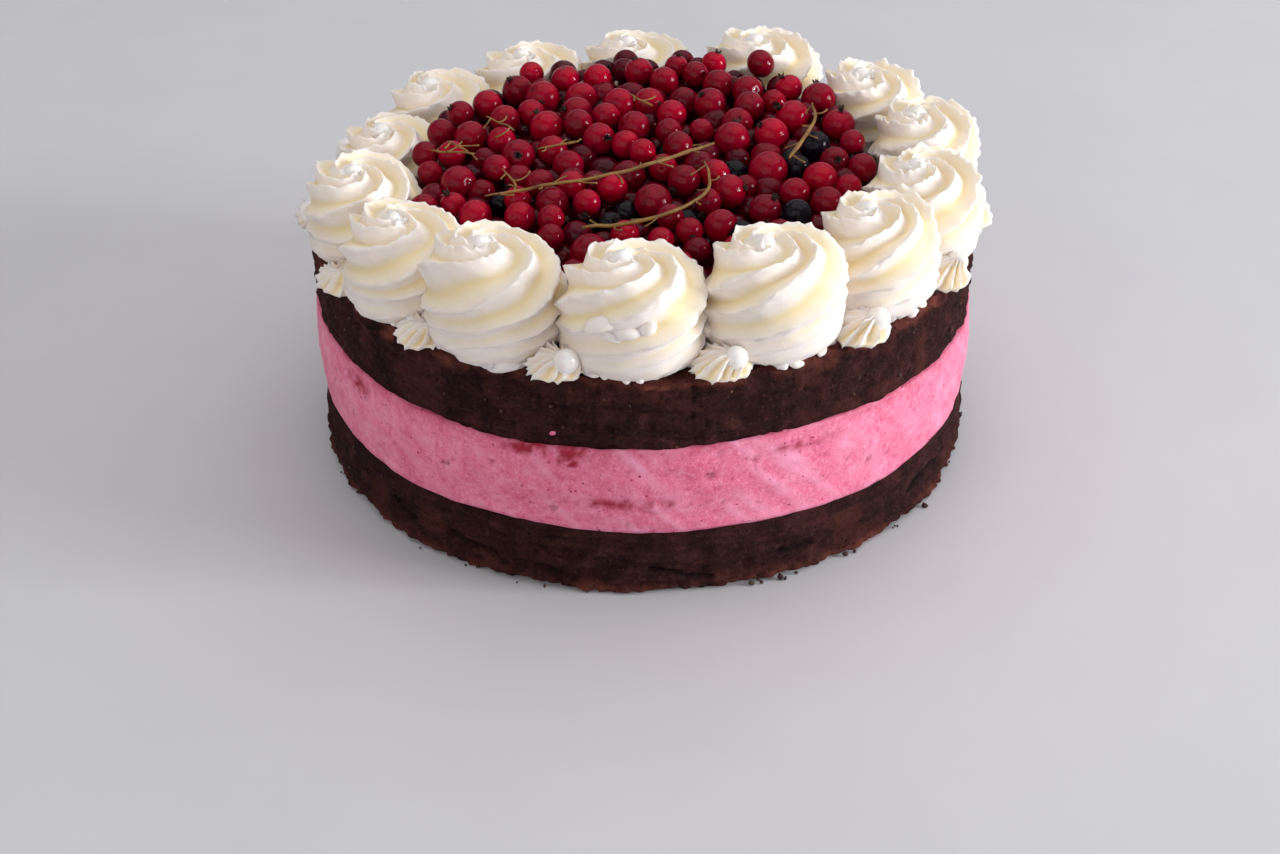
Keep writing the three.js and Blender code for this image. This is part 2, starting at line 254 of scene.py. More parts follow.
# A grain is given by its fine size, its coarse size and the share of the coarse one, in mm.
def grainOf(tree, grain):
    outputs = placeEffect(tree, foodGrain, grain)
    return outputs["Height"], outputs["Mottle"]


# Spots are given by their spacing and largest size in mm, and how many of them there are.
def spotsOf(tree, spots):
    return placeEffect(tree, scatteredSpots, spots)["Spots"]


def markOf(tree, name):
    return addNode(tree, "Attribute", attribute_name=name).outputs["Fac"]


# Feeds the finished colour and the relief to the shader, with the depth of the relief in mm.
def finishWith(tree, shader, colour, height, depth):
    tree.links.new(colour, shader.inputs["Base Color"])
    bump = addNode(tree, "Bump", {"Height": height, "Distance": depth * mm, "Strength": 1.0})
    tree.links.new(bump.outputs["Normal"], shader.inputs["Normal"])


# Dark chocolate sponge: near black brown with pale crumbs, redder where it is torn, and painted shade that
# makes it near black in the pits of its grain, in its pores and in its cracks. The shares are ramps from the
# grain to how much of the colour shows.
spongeLook = {
    "shader": {"Roughness": 0.9, "Specular IOR Level": 0.12},
    "broadGrain": (1.3, 7.0, 0.3), "fineGrain": (0.45, 1.3, 0.35), "relief": 1.1,
    "base": [(0.3, tint(36, 16, 16)), (0.52, tint(53, 26, 25)), (0.72, tint(76, 40, 38))],
    "torn": tint(124, 66, 56), "cracks": tint(16, 9, 9),
    "crumbs": tint(92, 54, 52), "crumbShare": [(0.56, 0.0), (0.72, 0.55)],
    "pits": tint(16, 8, 9), "pitShadeShare": [(0.38, 0.9), (0.46, 0.0)],
    "poreShade": tint(14, 7, 8), "poreShadeSpots": (1.5, 0.42, 0.35),
    "flecks": tint(132, 98, 86), "fleckSpots": (2.9, 0.55, 0.12),
}


def spongeFinish():
    look = spongeLook
    material, tree, shader = newMaterial("chocolateSponge", look["shader"])
    broad, mottle = grainOf(tree, look["broadGrain"])
    fine, blotch = grainOf(tree, look["fineGrain"])
    # painted shade: near black in the pits of the grain, in the pores and in the cracks
    colour = laidOver(tree, rampOf(tree, mottle, look["base"]), [
        (markOf(tree, "torn"), look["torn"]),
        (rampOf(tree, blotch, look["crumbShare"]), look["crumbs"]),
        (rampOf(tree, fine, look["pitShadeShare"]), look["pits"]),
        (spotsOf(tree, look["poreShadeSpots"]), look["poreShade"]),
        (spotsOf(tree, look["fleckSpots"]), look["flecks"]),
        (markOf(tree, "deep"), look["cracks"])])
    finishWith(tree, shader, colour, fine, look["relief"])
    return material


# Pink fruit mousse: soft, with bubble holes darkened by painted shade, dark specks of fruit, pale streaks and
# a redder band under its seam.
mousseLook = {
    "shader": {"Roughness": 0.5, "Specular IOR Level": 0.35, "Subsurface Weight": 0.2,
               "Subsurface Radius": (1.0, 0.35, 0.4), "Subsurface Scale": 0.0015},
    "broadGrain": (0.9, 9.0, 0.25), "fineGrain": (0.6, 1.8, 0.5), "relief": 0.3,
    "base": [(0.3, tint(224, 100, 136)), (0.55, tint(234, 122, 154)), (0.75, tint(241, 146, 178))],
    "froth": tint(250, 176, 203), "frothShare": [(0.5, 0.0), (0.66, 0.6)],
    "fruit": tint(196, 74, 116), "fruitShare": [(0.3, 0.7), (0.42, 0.0)],
    "streaks": tint(248, 172, 202), "stains": tint(160, 14, 48), "bubbleHoleShade": tint(122, 20, 52),
    "specks": tint(150, 36, 74), "speckSpots": (1.9, 0.46, 0.4),
}


def mousseFinish():
    look = mousseLook
    material, tree, shader = newMaterial("berryMousse", look["shader"])
    height, mottle = grainOf(tree, look["broadGrain"])
    fine, blotch = grainOf(tree, look["fineGrain"])
    # painted shade: the bubble holes are darker
    colour = laidOver(tree, rampOf(tree, mottle, look["base"]), [
        (rampOf(tree, fine, look["frothShare"]), look["froth"]),
        (rampOf(tree, blotch, look["fruitShare"]), look["fruit"]),
        (markOf(tree, "pale"), look["streaks"]),
        (markOf(tree, "stain"), look["stains"]),
        (spotsOf(tree, look["speckSpots"]), look["specks"]),
        (markOf(tree, "deep"), look["bubbleHoleShade"])])
    finishWith(tree, shader, colour, height, look["relief"])
    return material


# Whipped cream: nearly white, with painted shade: warmer on the sides of the ridges that face the peak and
# yellow in the grooves.
creamLook = {
    "shader": {"Roughness": 0.45, "Specular IOR Level": 0.3, "Subsurface Weight": 0.35,
               "Subsurface Radius": (1.0, 0.8, 0.5), "Subsurface Scale": 0.0025},
    "grain": (0.7, 4.0, 0.4), "relief": 0.16,
    "base": [(0.3, tint(243, 231, 223)), (0.7, tint(248, 239, 234))],
    "ridgeSideShade": tint(248, 230, 192), "grooveShadeTint": tint(226, 198, 104),
}


def creamFinish():
    look = creamLook
    material, tree, shader = newMaterial("pipedCream", look["shader"])
    height, mottle = grainOf(tree, look["grain"])
    # painted shade: warm on the ridge sides that face the peak, yellow in the grooves
    colour = laidOver(tree, rampOf(tree, mottle, look["base"]), [
        (markOf(tree, "shaded"), look["ridgeSideShade"]),
        (markOf(tree, "grooveShade"), look["grooveShadeTint"])])
    finishWith(tree, shader, colour, height, look["relief"])
    return material


# Berry skin: clear and deep in colour, with paler veins from end to end, dark round the dried flower, and
# with painted shade towards its outline.
skinLook = {
    "shader": {"Roughness": 0.5, "Specular IOR Level": 0.0, "Coat Weight": 0.7, "Coat Roughness": 0.08,
               "Coat IOR": 1.32, "Subsurface Weight": 0.7, "Subsurface Radius": (1.0, 0.03, 0.05),
               "Subsurface Scale": 0.002},
    "grain": (1.4, 4.0, 0.5), "relief": 0.03, "mottleShare": [(0.4, 0.0), (0.7, 0.3)],
    "flowerEnd": tint(40, 12, 10), "edgeShadeShare": [(0.25, 0.0), (0.95, 0.6)],
}
# unripe, half ripe and ripe, where the unripe colour also serves as painted shade deep in the heap, then the
# veins and the painted shade of the edge as it turns away
redSkin = {
    "unripe": tint(66, 0, 15), "half": tint(136, 0, 31), "ripeAndUnshaded": tint(180, 0, 42),
    "veins": tint(190, 14, 52), "edge": tint(64, 0, 16)}
darkSkin = {
    "unripe": tint(12, 8, 14), "half": tint(20, 14, 24), "ripeAndUnshaded": tint(30, 20, 34),
    "veins": tint(40, 34, 46), "edge": tint(8, 4, 8)}


def fruitFinish(name, skin):
    look = skinLook
    material, tree, shader = newMaterial(name, look["shader"])
    height, mottle = grainOf(tree, look["grain"])
    ripening = [(0.0, skin["unripe"]), (0.5, skin["half"]), (1.0, skin["ripeAndUnshaded"])]
    base = rampOf(tree, markOf(tree, "ripeAndUnshaded"), ripening)
    # painted shade: the skin darkens towards its outline as it turns away from view
    facing = addNode(tree, "LayerWeight", {"Blend": 0.5}).outputs["Facing"]
    colour = laidOver(tree, base, [
        (rampOf(tree, mottle, look["mottleShare"]), skin["unripe"]),
        (markOf(tree, "vein"), skin["veins"]),
        (markOf(tree, "tip"), look["flowerEnd"]),
        (rampOf(tree, facing, look["edgeShadeShare"]), skin["edge"])])
    finishWith(tree, shader, colour, height, look["relief"])
    return material


# The smaller finishes: mottled from a dark colour to a light one.
pearlLook = {
    "shader": {"Roughness": 0.22, "Specular IOR Level": 0.6, "Coat Weight": 0.4, "Coat Roughness": 0.1,
               "Sheen Weight": 0.2, "Subsurface Weight": 0.2, "Subsurface Scale": 0.001},
    "base": [(0.35, tint(238, 232, 228)), (0.7, tint(250, 247, 244))],
    "grain": (1.5, 3.0, 0.5), "relief": 0.05}
stalkLook = {
    "shader": {"Roughness": 0.55}, "base": [(0.3, tint(104, 66, 26)), (0.7, tint(150, 112, 48))],
    "grain": (0.5, 5.0, 0.4), "relief": 0.1}
flowerLook = {
    "shader": {"Roughness": 0.8}, "base": [(0.3, tint(26, 16, 12)), (0.7, tint(62, 40, 28))],
    "grain": (0.4, 1.5, 0.4), "relief": 0.1}
# painted shade: the near black red of the core that shows between the berries
heapLook = {
    "shader": {"Roughness": 0.95}, "base": [(0.3, tint(30, 2, 8)), (0.7, tint(70, 4, 16))],
    "grain": (1.0, 6.0, 0.4), "relief": 0.6}
crumbLook = {
    "shader": {"Roughness": 0.9}, "base": [(0.3, tint(40, 24, 22)), (0.7, tint(88, 56, 48))],
    "grain": (0.5, 2.0, 0.4), "relief": 0.3}


def plainFinish(name, look):
    material, tree, shader = newMaterial(name, look["shader"])
    height, mottle = grainOf(tree, look["grain"])
    finishWith(tree, shader, rampOf(tree, mottle, look["base"]), height, look["relief"])
    return material


sponge = spongeFinish()
mousse = mousseFinish()
cream = creamFinish()
pearl = plainFinish("sugarPearl", pearlLook)
redFruit = fruitFinish("redcurrantSkin", redSkin)
darkFruit = fruitFinish("blackcurrantSkin", darkSkin)
stalkGreen = plainFinish("driedStalk", stalkLook)
calyxBrown = plainFinish("driedFlower", flowerLook)
heapShade = plainFinish("heapCore", heapLook)
crumb = plainFinish("looseCrumb", crumbLook)
print("finishes built")


# The layers. Side rows are (share of height, change of radius), as on the solids. The rings of a disc's
# underside and top are in mm from its middle.
layerShape = {
    "radius": 100.0, "baseTop": 20.5, "mousseTop": 48.5, "spongeTop": 70.0, "gap": 0.1, "topReach": 99.5,
    "underRings": (0.001, 60, 90, 96), "coverRings": (97, 90, 30, 0.001),
    "rimRings": (98.8, 97.6, 96.4, 95.2, 94, 92.4, 90, 86, 78, 60, 0.001),
}


# The seams between the layers wave up and down as they go round, and the side is a little craggy, as on
# the solids. A wave is (depth in mm, how many go round, where it is highest in degrees), and a crag is
# (depth in mm, how many go round, how it leans).
seamShape = {
    "baseWaves": [(1.0, 1, 222)], "baseRipple": 0.4, "baseRipples": 9,
    "mousseWaves": [(1.2, 3, 302), (1.2, 1, 190)],
    "crags": [(0.35, 11, 1), (0.3, 17, -2), (0.25, 29, 3)],
}


def wavesOf(turn, waves):
    return sum(depth * np.cos(count * (turn - math.radians(highest))) for depth, count, highest in waves)


def baseSeam(turn):
    ripple = seamShape["baseRipple"] * np.sin(seamShape["baseRipples"] * turn)
    return wavesOf(turn, seamShape["baseWaves"]) + ripple


def mousseSeam(turn):
    return wavesOf(turn, seamShape["mousseWaves"])


def flatSeam(turn):
    return 0 * turn


def craggy(turn, z):
    return sum(depth * np.sin(count * turn + lean * z) for depth, count, lean in seamShape["crags"])


# A closed disc: the underside, the side row by row, and the rings of the top from the rim to the middle.
# The kind of a row is -1 on the underside, its share of the height on the side and 2 on the top.
def discRows(size, foot, top, footSeam, topSeam, topRings):
    radius, under = layerShape["radius"], layerShape["underRings"]
    turn = np.arange(size["columns"]) * 2 * math.pi / size["columns"]
    low = foot + footSeam(turn)
    high = top + topSeam(turn)
    share = np.linspace(0, 1, int((top - foot) / size["step"]) + 1)
    swell = np.interp(share, [s[0] for s in size["side"]], [s[1] for s in size["side"]])
    z = low + (high - low) * share[:, None]
    reach = radius + swell[:, None] + size["rough"] * craggy(turn, z)
    underside = [r * reach[0] / radius for r in under]
    upside = [r * reach[-1] / radius for r in topRings]
    reaches = underside + list(reach) + upside
    heights = [low] * len(under) + list(z) + [high] * len(topRings)
    kinds = np.r_[-np.ones(len(under)), share, 2 * np.ones(len(topRings))]
    return turn, np.array(reaches), np.array(heights), kinds


# Pushes the side in and out along its own radius, and the top up and down.
def discPiece(name, rows, sideRelief, topRelief, material, nodeName, marks):
    turn, reach, z, kinds = rows
    points = np.stack([reach * np.cos(turn), reach * np.sin(turn), z], -1)
    flat = points.reshape(-1, 3)
    height = np.repeat(kinds, len(turn))
    around = np.tile(turn, len(kinds))
    onSide = (height >= 0) & (height <= 1)
    onTop = (height > 1) & (np.hypot(flat[:, 0], flat[:, 1]) < layerShape["topReach"])
    push = sideRelief(flat, around, height) * onSide
    flat[:, 0] += push * np.cos(around)
    flat[:, 1] += push * np.sin(around)
    if topRelief:
        flat[:, 2] += topRelief(flat) * onTop
    piece = makePiece(name, flat, roundFaces(len(kinds), len(turn)), material)
    for label, rule in marks.items():
        markPoints(piece, label, np.clip(rule(flat, around, height), 0, 1))
    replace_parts(piece, nodeName)


# Open crumb: rounded lumps with sharp pits between them, with sizes across and depths in mm.
crumbShape = {
    "coarseSize": 3.0, "coarse": 0.55, "fineSize": 1.7, "fine": 0.45,
    "pitSize": 2.1, "pits": 2.0, "pitsFrom": 0.3,
}


def openCrumb(flat, seed):
    size = crumbShape
    coarse = lumps(flat, size["coarseSize"], seed)
    fine = lumps(flat, size["fineSize"], seed + 1)
    pits = np.maximum(0, -lumps(flat, size["pitSize"], seed + 2) - size["pitsFrom"])
    return size["coarse"] * coarse + size["fine"] * fine - size["pits"] * pits


# The low, soft lumps of a sponge's side where it is smooth.
def smoothCrust(flat, size):
    return size["smoothRelief"] * (lumpsOf(flat, size["smoothLumps"]) + lumpsOf(flat, size["smoothBits"]))


# How cracks wander off their lines, in broad bends and fine ones.
crackWander = {"broad": (0.9, 5, 81), "fine": (0.4, 1.8, 82)}


# How near each point of a side is to one of some cracks, from 0 to 1. A crack is a run of (turn in degrees,
# height).
def nearCracks(flat, around, cracks, width):
    radius = layerShape["radius"]
    wander = lumpsOf(flat, crackWander["broad"]) + lumpsOf(flat, crackWander["fine"])
    nearest = np.full(len(flat), math.inf)
    for crack in cracks:
        spots = [(math.radians(degrees), z) for degrees, z in crack]
        for (turnA, zA), (turnB, zB) in zip(spots, spots[1:]):
            across = turnsApart(around, turnA) * radius
            up = flat[:, 2] - zA + wander
            run, rise = (turnB - turnA) * radius, zB - zA
            along = np.clip((across * run + up * rise) / (run * run + rise * rise), 0, 1)
            nearest = np.minimum(nearest, np.hypot(across - along * run, up - along * rise))
    return np.exp(-(nearest / width) ** 2)


# The lower sponge is open crumb up to about openTo of its height and smooth above, with a ragged lower edge.
# Lumps are given as lumpsOf takes them.
lowerSponge = {
    "columns": 1040, "step": 0.6, "rough": 1.0, "side": [(0, -1.6), (0.05, 0.2), (0.5, 0), (1, -0.8)],
    "openTo": 0.6, "openWave": (0.3, 16, 31), "openFade": 0.3, "crumbSeed": 35,
    "smoothRelief": 0.35, "smoothLumps": (1.0, 3.8, 32), "smoothBits": (0.5, 2.1, 36),
    "edge": 0.16, "edgeReach": 1.4, "edgeBits": (1.0, 2.2, 33), "edgeLumps": (0.6, 5, 34), "edgeBack": 0.2,
    "tornTo": 0.2, "tornFrom": 0.45, "tornLumps": (0.7, 4, 71),
    "patches": 0.35, "patchesTo": 0.75, "patchLumps": (1.0, 9, 73), "patchesFrom": 0.1,
    "crackWidth": 0.7, "crackDepth": 1.4, "shadeWidth": 0.9, "crackShade": 0.85,
    "cracks": [
        [(235.9, 9.6), (241.9, 8.5), (246.8, 5.5)], [(252.1, 6.4), (256, 6)],
        [(270.7, 8), (275.6, 6.2), (280.8, 4.7)], [(319.7, 8.8), (326.5, 11.2), (333.5, 10.6)],
        [(292, 9.5), (298, 8.8)], [(222, 11), (228, 9.4)],
        [(20, 8), (28, 9.5)], [(100, 7), (112, 9)], [(160, 9), (170, 7)]],
}


def lowerSide(flat, around, height):
    size = lowerSponge
    wave = lumpsOf(flat, size["openWave"])
    opened = np.clip((size["openTo"] - height + wave) / size["openFade"], 0, 1)
    smoothPart = smoothCrust(flat, size)
    edge = np.clip(1 - height / size["edge"], 0, 1)
    uneven = lumpsOf(flat, size["edgeBits"]) + lumpsOf(flat, size["edgeLumps"]) - size["edgeBack"]
    ragged = edge * size["edgeReach"] * uneven
    split = size["crackDepth"] * nearCracks(flat, around, size["cracks"], size["crackWidth"])
    return opened * openCrumb(flat, size["crumbSeed"]) + (1 - opened) * smoothPart + ragged - split


def lowerTorn(flat, around, height):
    size = lowerSponge
    low = np.clip(1 - height / size["tornTo"], 0, 1)
    patches = size["patches"] * np.clip(lumpsOf(flat, size["patchLumps"]) - size["patchesFrom"], 0, 1)
    torn = low * (size["tornFrom"] + lumpsOf(flat, size["tornLumps"]))
    return torn + patches * (height < size["patchesTo"])


# The upper sponge is smooth with level scrapes and a few chips, and open crumb above openAbove and on
# its top.
upperSponge = {
    "columns": 1040, "step": 0.6, "rough": 0.8, "side": [(0, -0.4), (0.5, -0.2), (0.93, -0.5), (1, -1.9)],
    "openAbove": 0.84, "openWave": (0.16, 11, 41), "openFade": 0.12, "crumbSeed": 45, "topSeed": 47,
    "smoothRelief": 0.3, "smoothLumps": (1.0, 3.6, 42), "smoothBits": (0.6, 2.0, 46),
    "scrapes": (0.3, 2.4, 43), "scrapeSquash": 0.15,
    "chips": 1.6, "chipLumps": (1.0, 1.8, 44), "chipsFrom": 0.42,
    "tornWave": (0.1, 8, 74), "tornFade": 0.08, "tornFrom": 0.4, "tornLumps": (0.8, 3.5, 72),
    "patches": 0.3, "patchLumps": (1.0, 7, 75), "patchesFrom": 0.15,
    "crackWidth": 0.45, "crackDepth": 0.4, "shadeWidth": 0.6, "crackShade": 0.4,
    "cracks": [
        [(223.2, 62), (224.3, 51.4)], [(243, 66), (244.5, 57)],
        [(262, 60), (262.4, 52)], [(301, 63), (302, 55)]],
}


def upperSide(flat, around, height):
    size = upperSponge
    wave = lumpsOf(flat, size["openWave"])
    opened = np.clip((height - size["openAbove"] + wave) / size["openFade"], 0, 1)
    stretched = flat * np.array([1, 1, size["scrapeSquash"]])
    smoothPart = smoothCrust(flat, size)
    scrapes = lumpsOf(stretched, size["scrapes"])
    chips = size["chips"] * np.maximum(0, lumpsOf(flat, size["chipLumps"]) - size["chipsFrom"])
    split = size["crackDepth"] * nearCracks(flat, around, size["cracks"], size["crackWidth"])
    return opened * openCrumb(flat, size["crumbSeed"]) + smoothPart + scrapes - chips - split


def upperTorn(flat, around, height):
    size = upperSponge
    wave = lumpsOf(flat, size["tornWave"])
    high = np.clip((height - size["openAbove"] + wave) / size["tornFade"], 0, 1)
    patches = size["patches"] * np.clip(lumpsOf(flat, size["patchLumps"]) - size["patchesFrom"], 0, 1)
    return high * (size["tornFrom"] + lumpsOf(flat, size["tornLumps"])) + patches


# How much of the painted shade in the cracks shows on a sponge.
def crackShade(size):
    def shade(flat, around, height):
        return size["crackShade"] * nearCracks(flat, around, size["cracks"], size["shadeWidth"])
    return shade


mousseRelief = {
    "columns": 640, "step": 1.1, "rough": 0.3, "side": [(0, -0.2), (0.5, 1), (1, 0.4)],
    "soft": (0.25, 6, 51), "streaks": 0.2, "streakLumps": (1.0, 3.2, 52), "streakStretch": 0.12,
    "smallest": 0.5, "largest": 1.1, "more": 40, "levels": (23, 46), "seed": 9,
    "holeReach": 100.6, "holeDepth": 0.8, "holeShade": 0.8,
    # turn in degrees, height and radius of the bubble holes in front; more are scattered all round
    "bubbles": [
        (236.7, 34.3, 1.0), (245.2, 39.3, 0.9), (243.6, 26.7, 1.1), (280.7, 39.5, 0.8), (287.7, 43, 0.8),
        (308.9, 30.8, 1.0), (311.8, 27.9, 0.8), (255.4, 27.9, 1.2), (267.1, 23.5, 1.0)],
    # where the pale streaks are strongest, in degrees, and how strong they are elsewhere
    "paleTurn": 277, "paleSpread": 16, "paleElsewhere": 0.3, "paleStrength": 1.5, "paleFrom": 0.05,
}


def bubbleList():
    size = mousseRelief
    dice = np.random.default_rng(size["seed"])
    spread = size["largest"] - size["smallest"]
    lowest, highest = size["levels"]
    more = [(360 * turn, lowest + (highest - lowest) * level, size["smallest"] + spread * big ** 3)
            for turn, level, big in dice.random((size["more"], 3))]
    return size["bubbles"] + more


# How deep in a bubble hole each point is, and the depth in mm.
def inBubbles(flat):
    size = mousseRelief
    share, depth = np.zeros(len(flat)), np.zeros(len(flat))
    for degrees, z, radius in bubbleList():
        turn = math.radians(degrees)
        middle = np.array([size["holeReach"] * math.cos(turn), size["holeReach"] * math.sin(turn), z])
        inside = np.clip(1 - (np.linalg.norm(flat - middle, axis=1) / radius) ** 2, 0, 1)
        share = np.maximum(share, inside)
        depth = np.maximum(depth, size["holeDepth"] * radius * inside)
    return share, depth


# Streaks left by the spatula, which lean to the right as they run down.
def streaksOn(flat, around):
    size = mousseRelief
    along = around * layerShape["radius"]
    slanted = np.stack([along + flat[:, 2], size["streakStretch"] * (flat[:, 2] - along), 0 * around], -1)
    return lumpsOf(slanted, size["streakLumps"])


def mousseSide(flat, around, height):
    size = mousseRelief
    share, depth = inBubbles(flat)
    return lumpsOf(flat, size["soft"]) + size["streaks"] * streaksOn(flat, around) - depth


def moussePale(flat, around, height):
    size = mousseRelief
    apart = turnsApart(around, math.radians(size["paleTurn"]))
    near = np.exp(-(apart / math.radians(size["paleSpread"])) ** 2)
    front = size["paleElsewhere"] + (1 - size["paleElsewhere"]) * near
    return front * np.clip(streaksOn(flat, around) - size["paleFrom"], 0, 1) * size["paleStrength"]


def mousseHoles(flat, around, height):
    return mousseRelief["holeShade"] * inBubbles(flat)[0] ** 0.5


mousseStains = {
    # where fruit has stained the mousse: turn in degrees, height, and spread round and up, in mm
    "patches": [
        (255, 46.6, 13, 2.4), (252, 45.4, 5, 1.5), (256.5, 45.2, 3, 1.3), (258.5, 43.4, 3.6, 1.1),
        (215, 44.5, 6, 2.4), (296, 44.5, 9, 1.4), (268, 31, 18, 1.6), (120, 40, 16, 3), (35, 33, 14, 3)],
    "strength": 1.5, "mottleFrom": 0.45, "mottleTo": 1.2,
    "mottle": (0.7, 3, 61), "fineMottle": (0.7, 1.4, 62),
    # the redder band under the seam: from this share of the height, how red and how uneven
    "bandFrom": 0.88, "band": 0.45, "unevenFrom": 0.6, "uneven": (0.6, 4, 63),
}


def mousseStain(flat, around, height):
    size = mousseStains
    total = np.zeros(len(flat))
    for degrees, z, wide, tall in size["patches"]:
        apart = turnsApart(around, math.radians(degrees)) * layerShape["radius"]
        total += np.exp(-(apart / wide) ** 2 - ((flat[:, 2] - z) / tall) ** 2)
    mottle = size["mottleFrom"] + lumpsOf(flat, size["mottle"]) + lumpsOf(flat, size["fineMottle"])
    band = size["band"] * np.clip((height - size["bandFrom"]) / (1 - size["bandFrom"]), 0, 1)
    uneven = np.clip(size["unevenFrom"] + lumpsOf(flat, size["uneven"]), 0, 1)
    return size["strength"] * total * np.clip(mottle, 0, size["mottleTo"]) + band * uneven


def topCrumb(flat):
    return openCrumb(flat, upperSponge["topSeed"])


def buildLayers():
    shape = layerShape
    foot = discRows(lowerSponge, 0, shape["baseTop"] - shape["gap"], flatSeam, baseSeam, shape["coverRings"])
    discPiece("lowerSponge", foot, lowerSide, None, sponge, "sponge_base",
              {"torn": lowerTorn, "deep": crackShade(lowerSponge)})
    middle = discRows(mousseRelief, shape["baseTop"], shape["mousseTop"] - shape["gap"],
                      baseSeam, mousseSeam, shape["coverRings"])
    discPiece("fruitMousse", middle, mousseSide, None, mousse, "mousse",
              {"stain": mousseStain, "pale": moussePale, "deep": mousseHoles})
    top = discRows(upperSponge, shape["mousseTop"], shape["spongeTop"],
                   mousseSeam, flatSeam, shape["rimRings"])
    discPiece("upperSponge", top, upperSide, topCrumb, sponge, "sponge_top",
              {"torn": upperTorn, "deep": crackShade(upperSponge)})


buildLayers()
print("layers built")


# The piped cream. Places and sizes of the swirls are those of the solids: for each swirl its angle
# anticlockwise from +X, its distance from the middle, the turn of its arms, its width from the middle out
# and its height.
swirlPlaces = [
    (268, 86.3, 52, 19.8, 30.6), (294, 86, 46, 20.1, 31.3), (319.5, 85.5, 52, 19.2, 29.2),
    (342.5, 85.5, 20, 19.8, 27.8), (4.5, 85.5, 60, 19.2, 29.3), (30, 83, 35, 18.8, 27.2),
    (61, 82.5, 10, 19.2, 26.2), (91.5, 79.5, 50, 18.4, 22.8), (117.5, 79.8, 25, 18.6, 22.2),
    (143.5, 81, 65, 18.6, 22), (169.5, 78.7, 40, 18.2, 21.8), (195, 84.5, 15, 19.9, 25.2),
    (219.5, 86.3, 50, 19.7, 26.8), (242, 87, 32, 20.3, 30.6),
]
creamFoot = 70.1
swirlShape = {
    "depth": 0.9, "broad": 1.05, "arms": 5, "perArm": 20, "rows": 124, "groove": 3.8, "sharp": 0.75,
    "valley": 0.56, "armSpread": 0.3, "unevenArms": 0.2, "wander": 2.0, "ragged": 0.62, "peak": (-2.6, 1.6),
    "torn": 1.5, "softened": 6, "gathered": 0.5, "tornRight": 0.6, "seed": 100,
    # share of width, share of height, turn in degrees and share of the groove, from foot to peak
    "side": [
        (0, 0.03, -205, 0), (0.6, 0, -205, 0), (0.74, 0, -202, 0.05), (0.87, 0.07, -190, 0.1),
        (0.945, 0.16, -165, 0.12), (0.95, 0.24, -132, 0.2), (0.965, 0.33, -92, 0.4), (0.99, 0.43, -54, 0.7),
        (1.01, 0.53, -25, 0.95), (1.01, 0.64, -2, 1.1), (0.97, 0.77, 18, 1.15), (0.9, 0.87, 36, 1.15),
        (0.79, 0.945, 56, 1.1), (0.65, 0.985, 80, 1.05), (0.5, 1.0, 108, 1.0), (0.35, 1.0, 140, 0.9),
        (0.2, 0.99, 172, 0.6), (0.1, 0.98, 190, 0.3), (0, 0.975, 200, 0)],
}
# The unevenness of all piped cream: sizes across in mm, and how strong each kind is.
creamRelief = {
    "tearSize": 1.3, "tearsPlain": 0.12, "tearsOnCrests": 1.4, "waveSize": 5, "waves": 0.5,
    "pitSize": 2.2, "pits": 0.16, "peakSize": 2.3, "peakReach": 5.5, "lowestTear": -0.2,
    "swerveSize": 9, "steadyReach": 4, "atPeak": 0.3, "leanFrom": 0.45, "leanCurve": 1.3,
    # how much of a groove is round and how much is cut like a V
    "round": 0.55, "pointed": 0.45,
    # how narrow the torn crests and the yellow hollows of painted shade are, and where across an arm it faces
    # the peak and so takes painted shade
    "crestSharp": 3, "hollowSharp": 8, "facesPeak": ([0, 0.45, 0.62, 0.85, 1], [0, 0.1, 1, 0.6, 0]),
}


def swirlList():
    made = []
    for degrees, ring, armTurn, width, height in swirlPlaces:
        turn = math.radians(degrees)
        made.append({
            "turn": turn, "x": ring * math.cos(turn), "y": ring * math.sin(turn),
            "width": width, "height": height, "start": math.radians(armTurn - degrees)})
    return made


swirls = swirlList()


# The cut of a groove across one arm after another: 0 on the crests, which are crisp, and 1 in the round
# valleys. Returns each column's arm, how far across that arm it is, the same from crest to crest with the
# valley in the middle, and its cut.
def grooveCut(size):
    even = np.arange(size["arms"] * size["perArm"]) / size["perArm"]
    arm = even.astype(int)
    gathered = size["gathered"] * np.sin(2 * np.pi * even) / (2 * np.pi)  # more points near the crests
    within = even % 1 - gathered
    valley = size["valley"]
    bent = np.where(within < valley, within / valley / 2, 1 - (1 - within) / (1 - valley) / 2)
    rounded = creamRelief["round"] * np.sin(np.pi * bent) ** size["sharp"]
    cut = rounded + creamRelief["pointed"] * (1 - np.abs(2 * bent - 1))
    for smoothing in range(size["softened"]):
        cut = (np.roll(cut, 1) + 2 * cut + np.roll(cut, -1)) / 4
    return arm, within, bent, cut
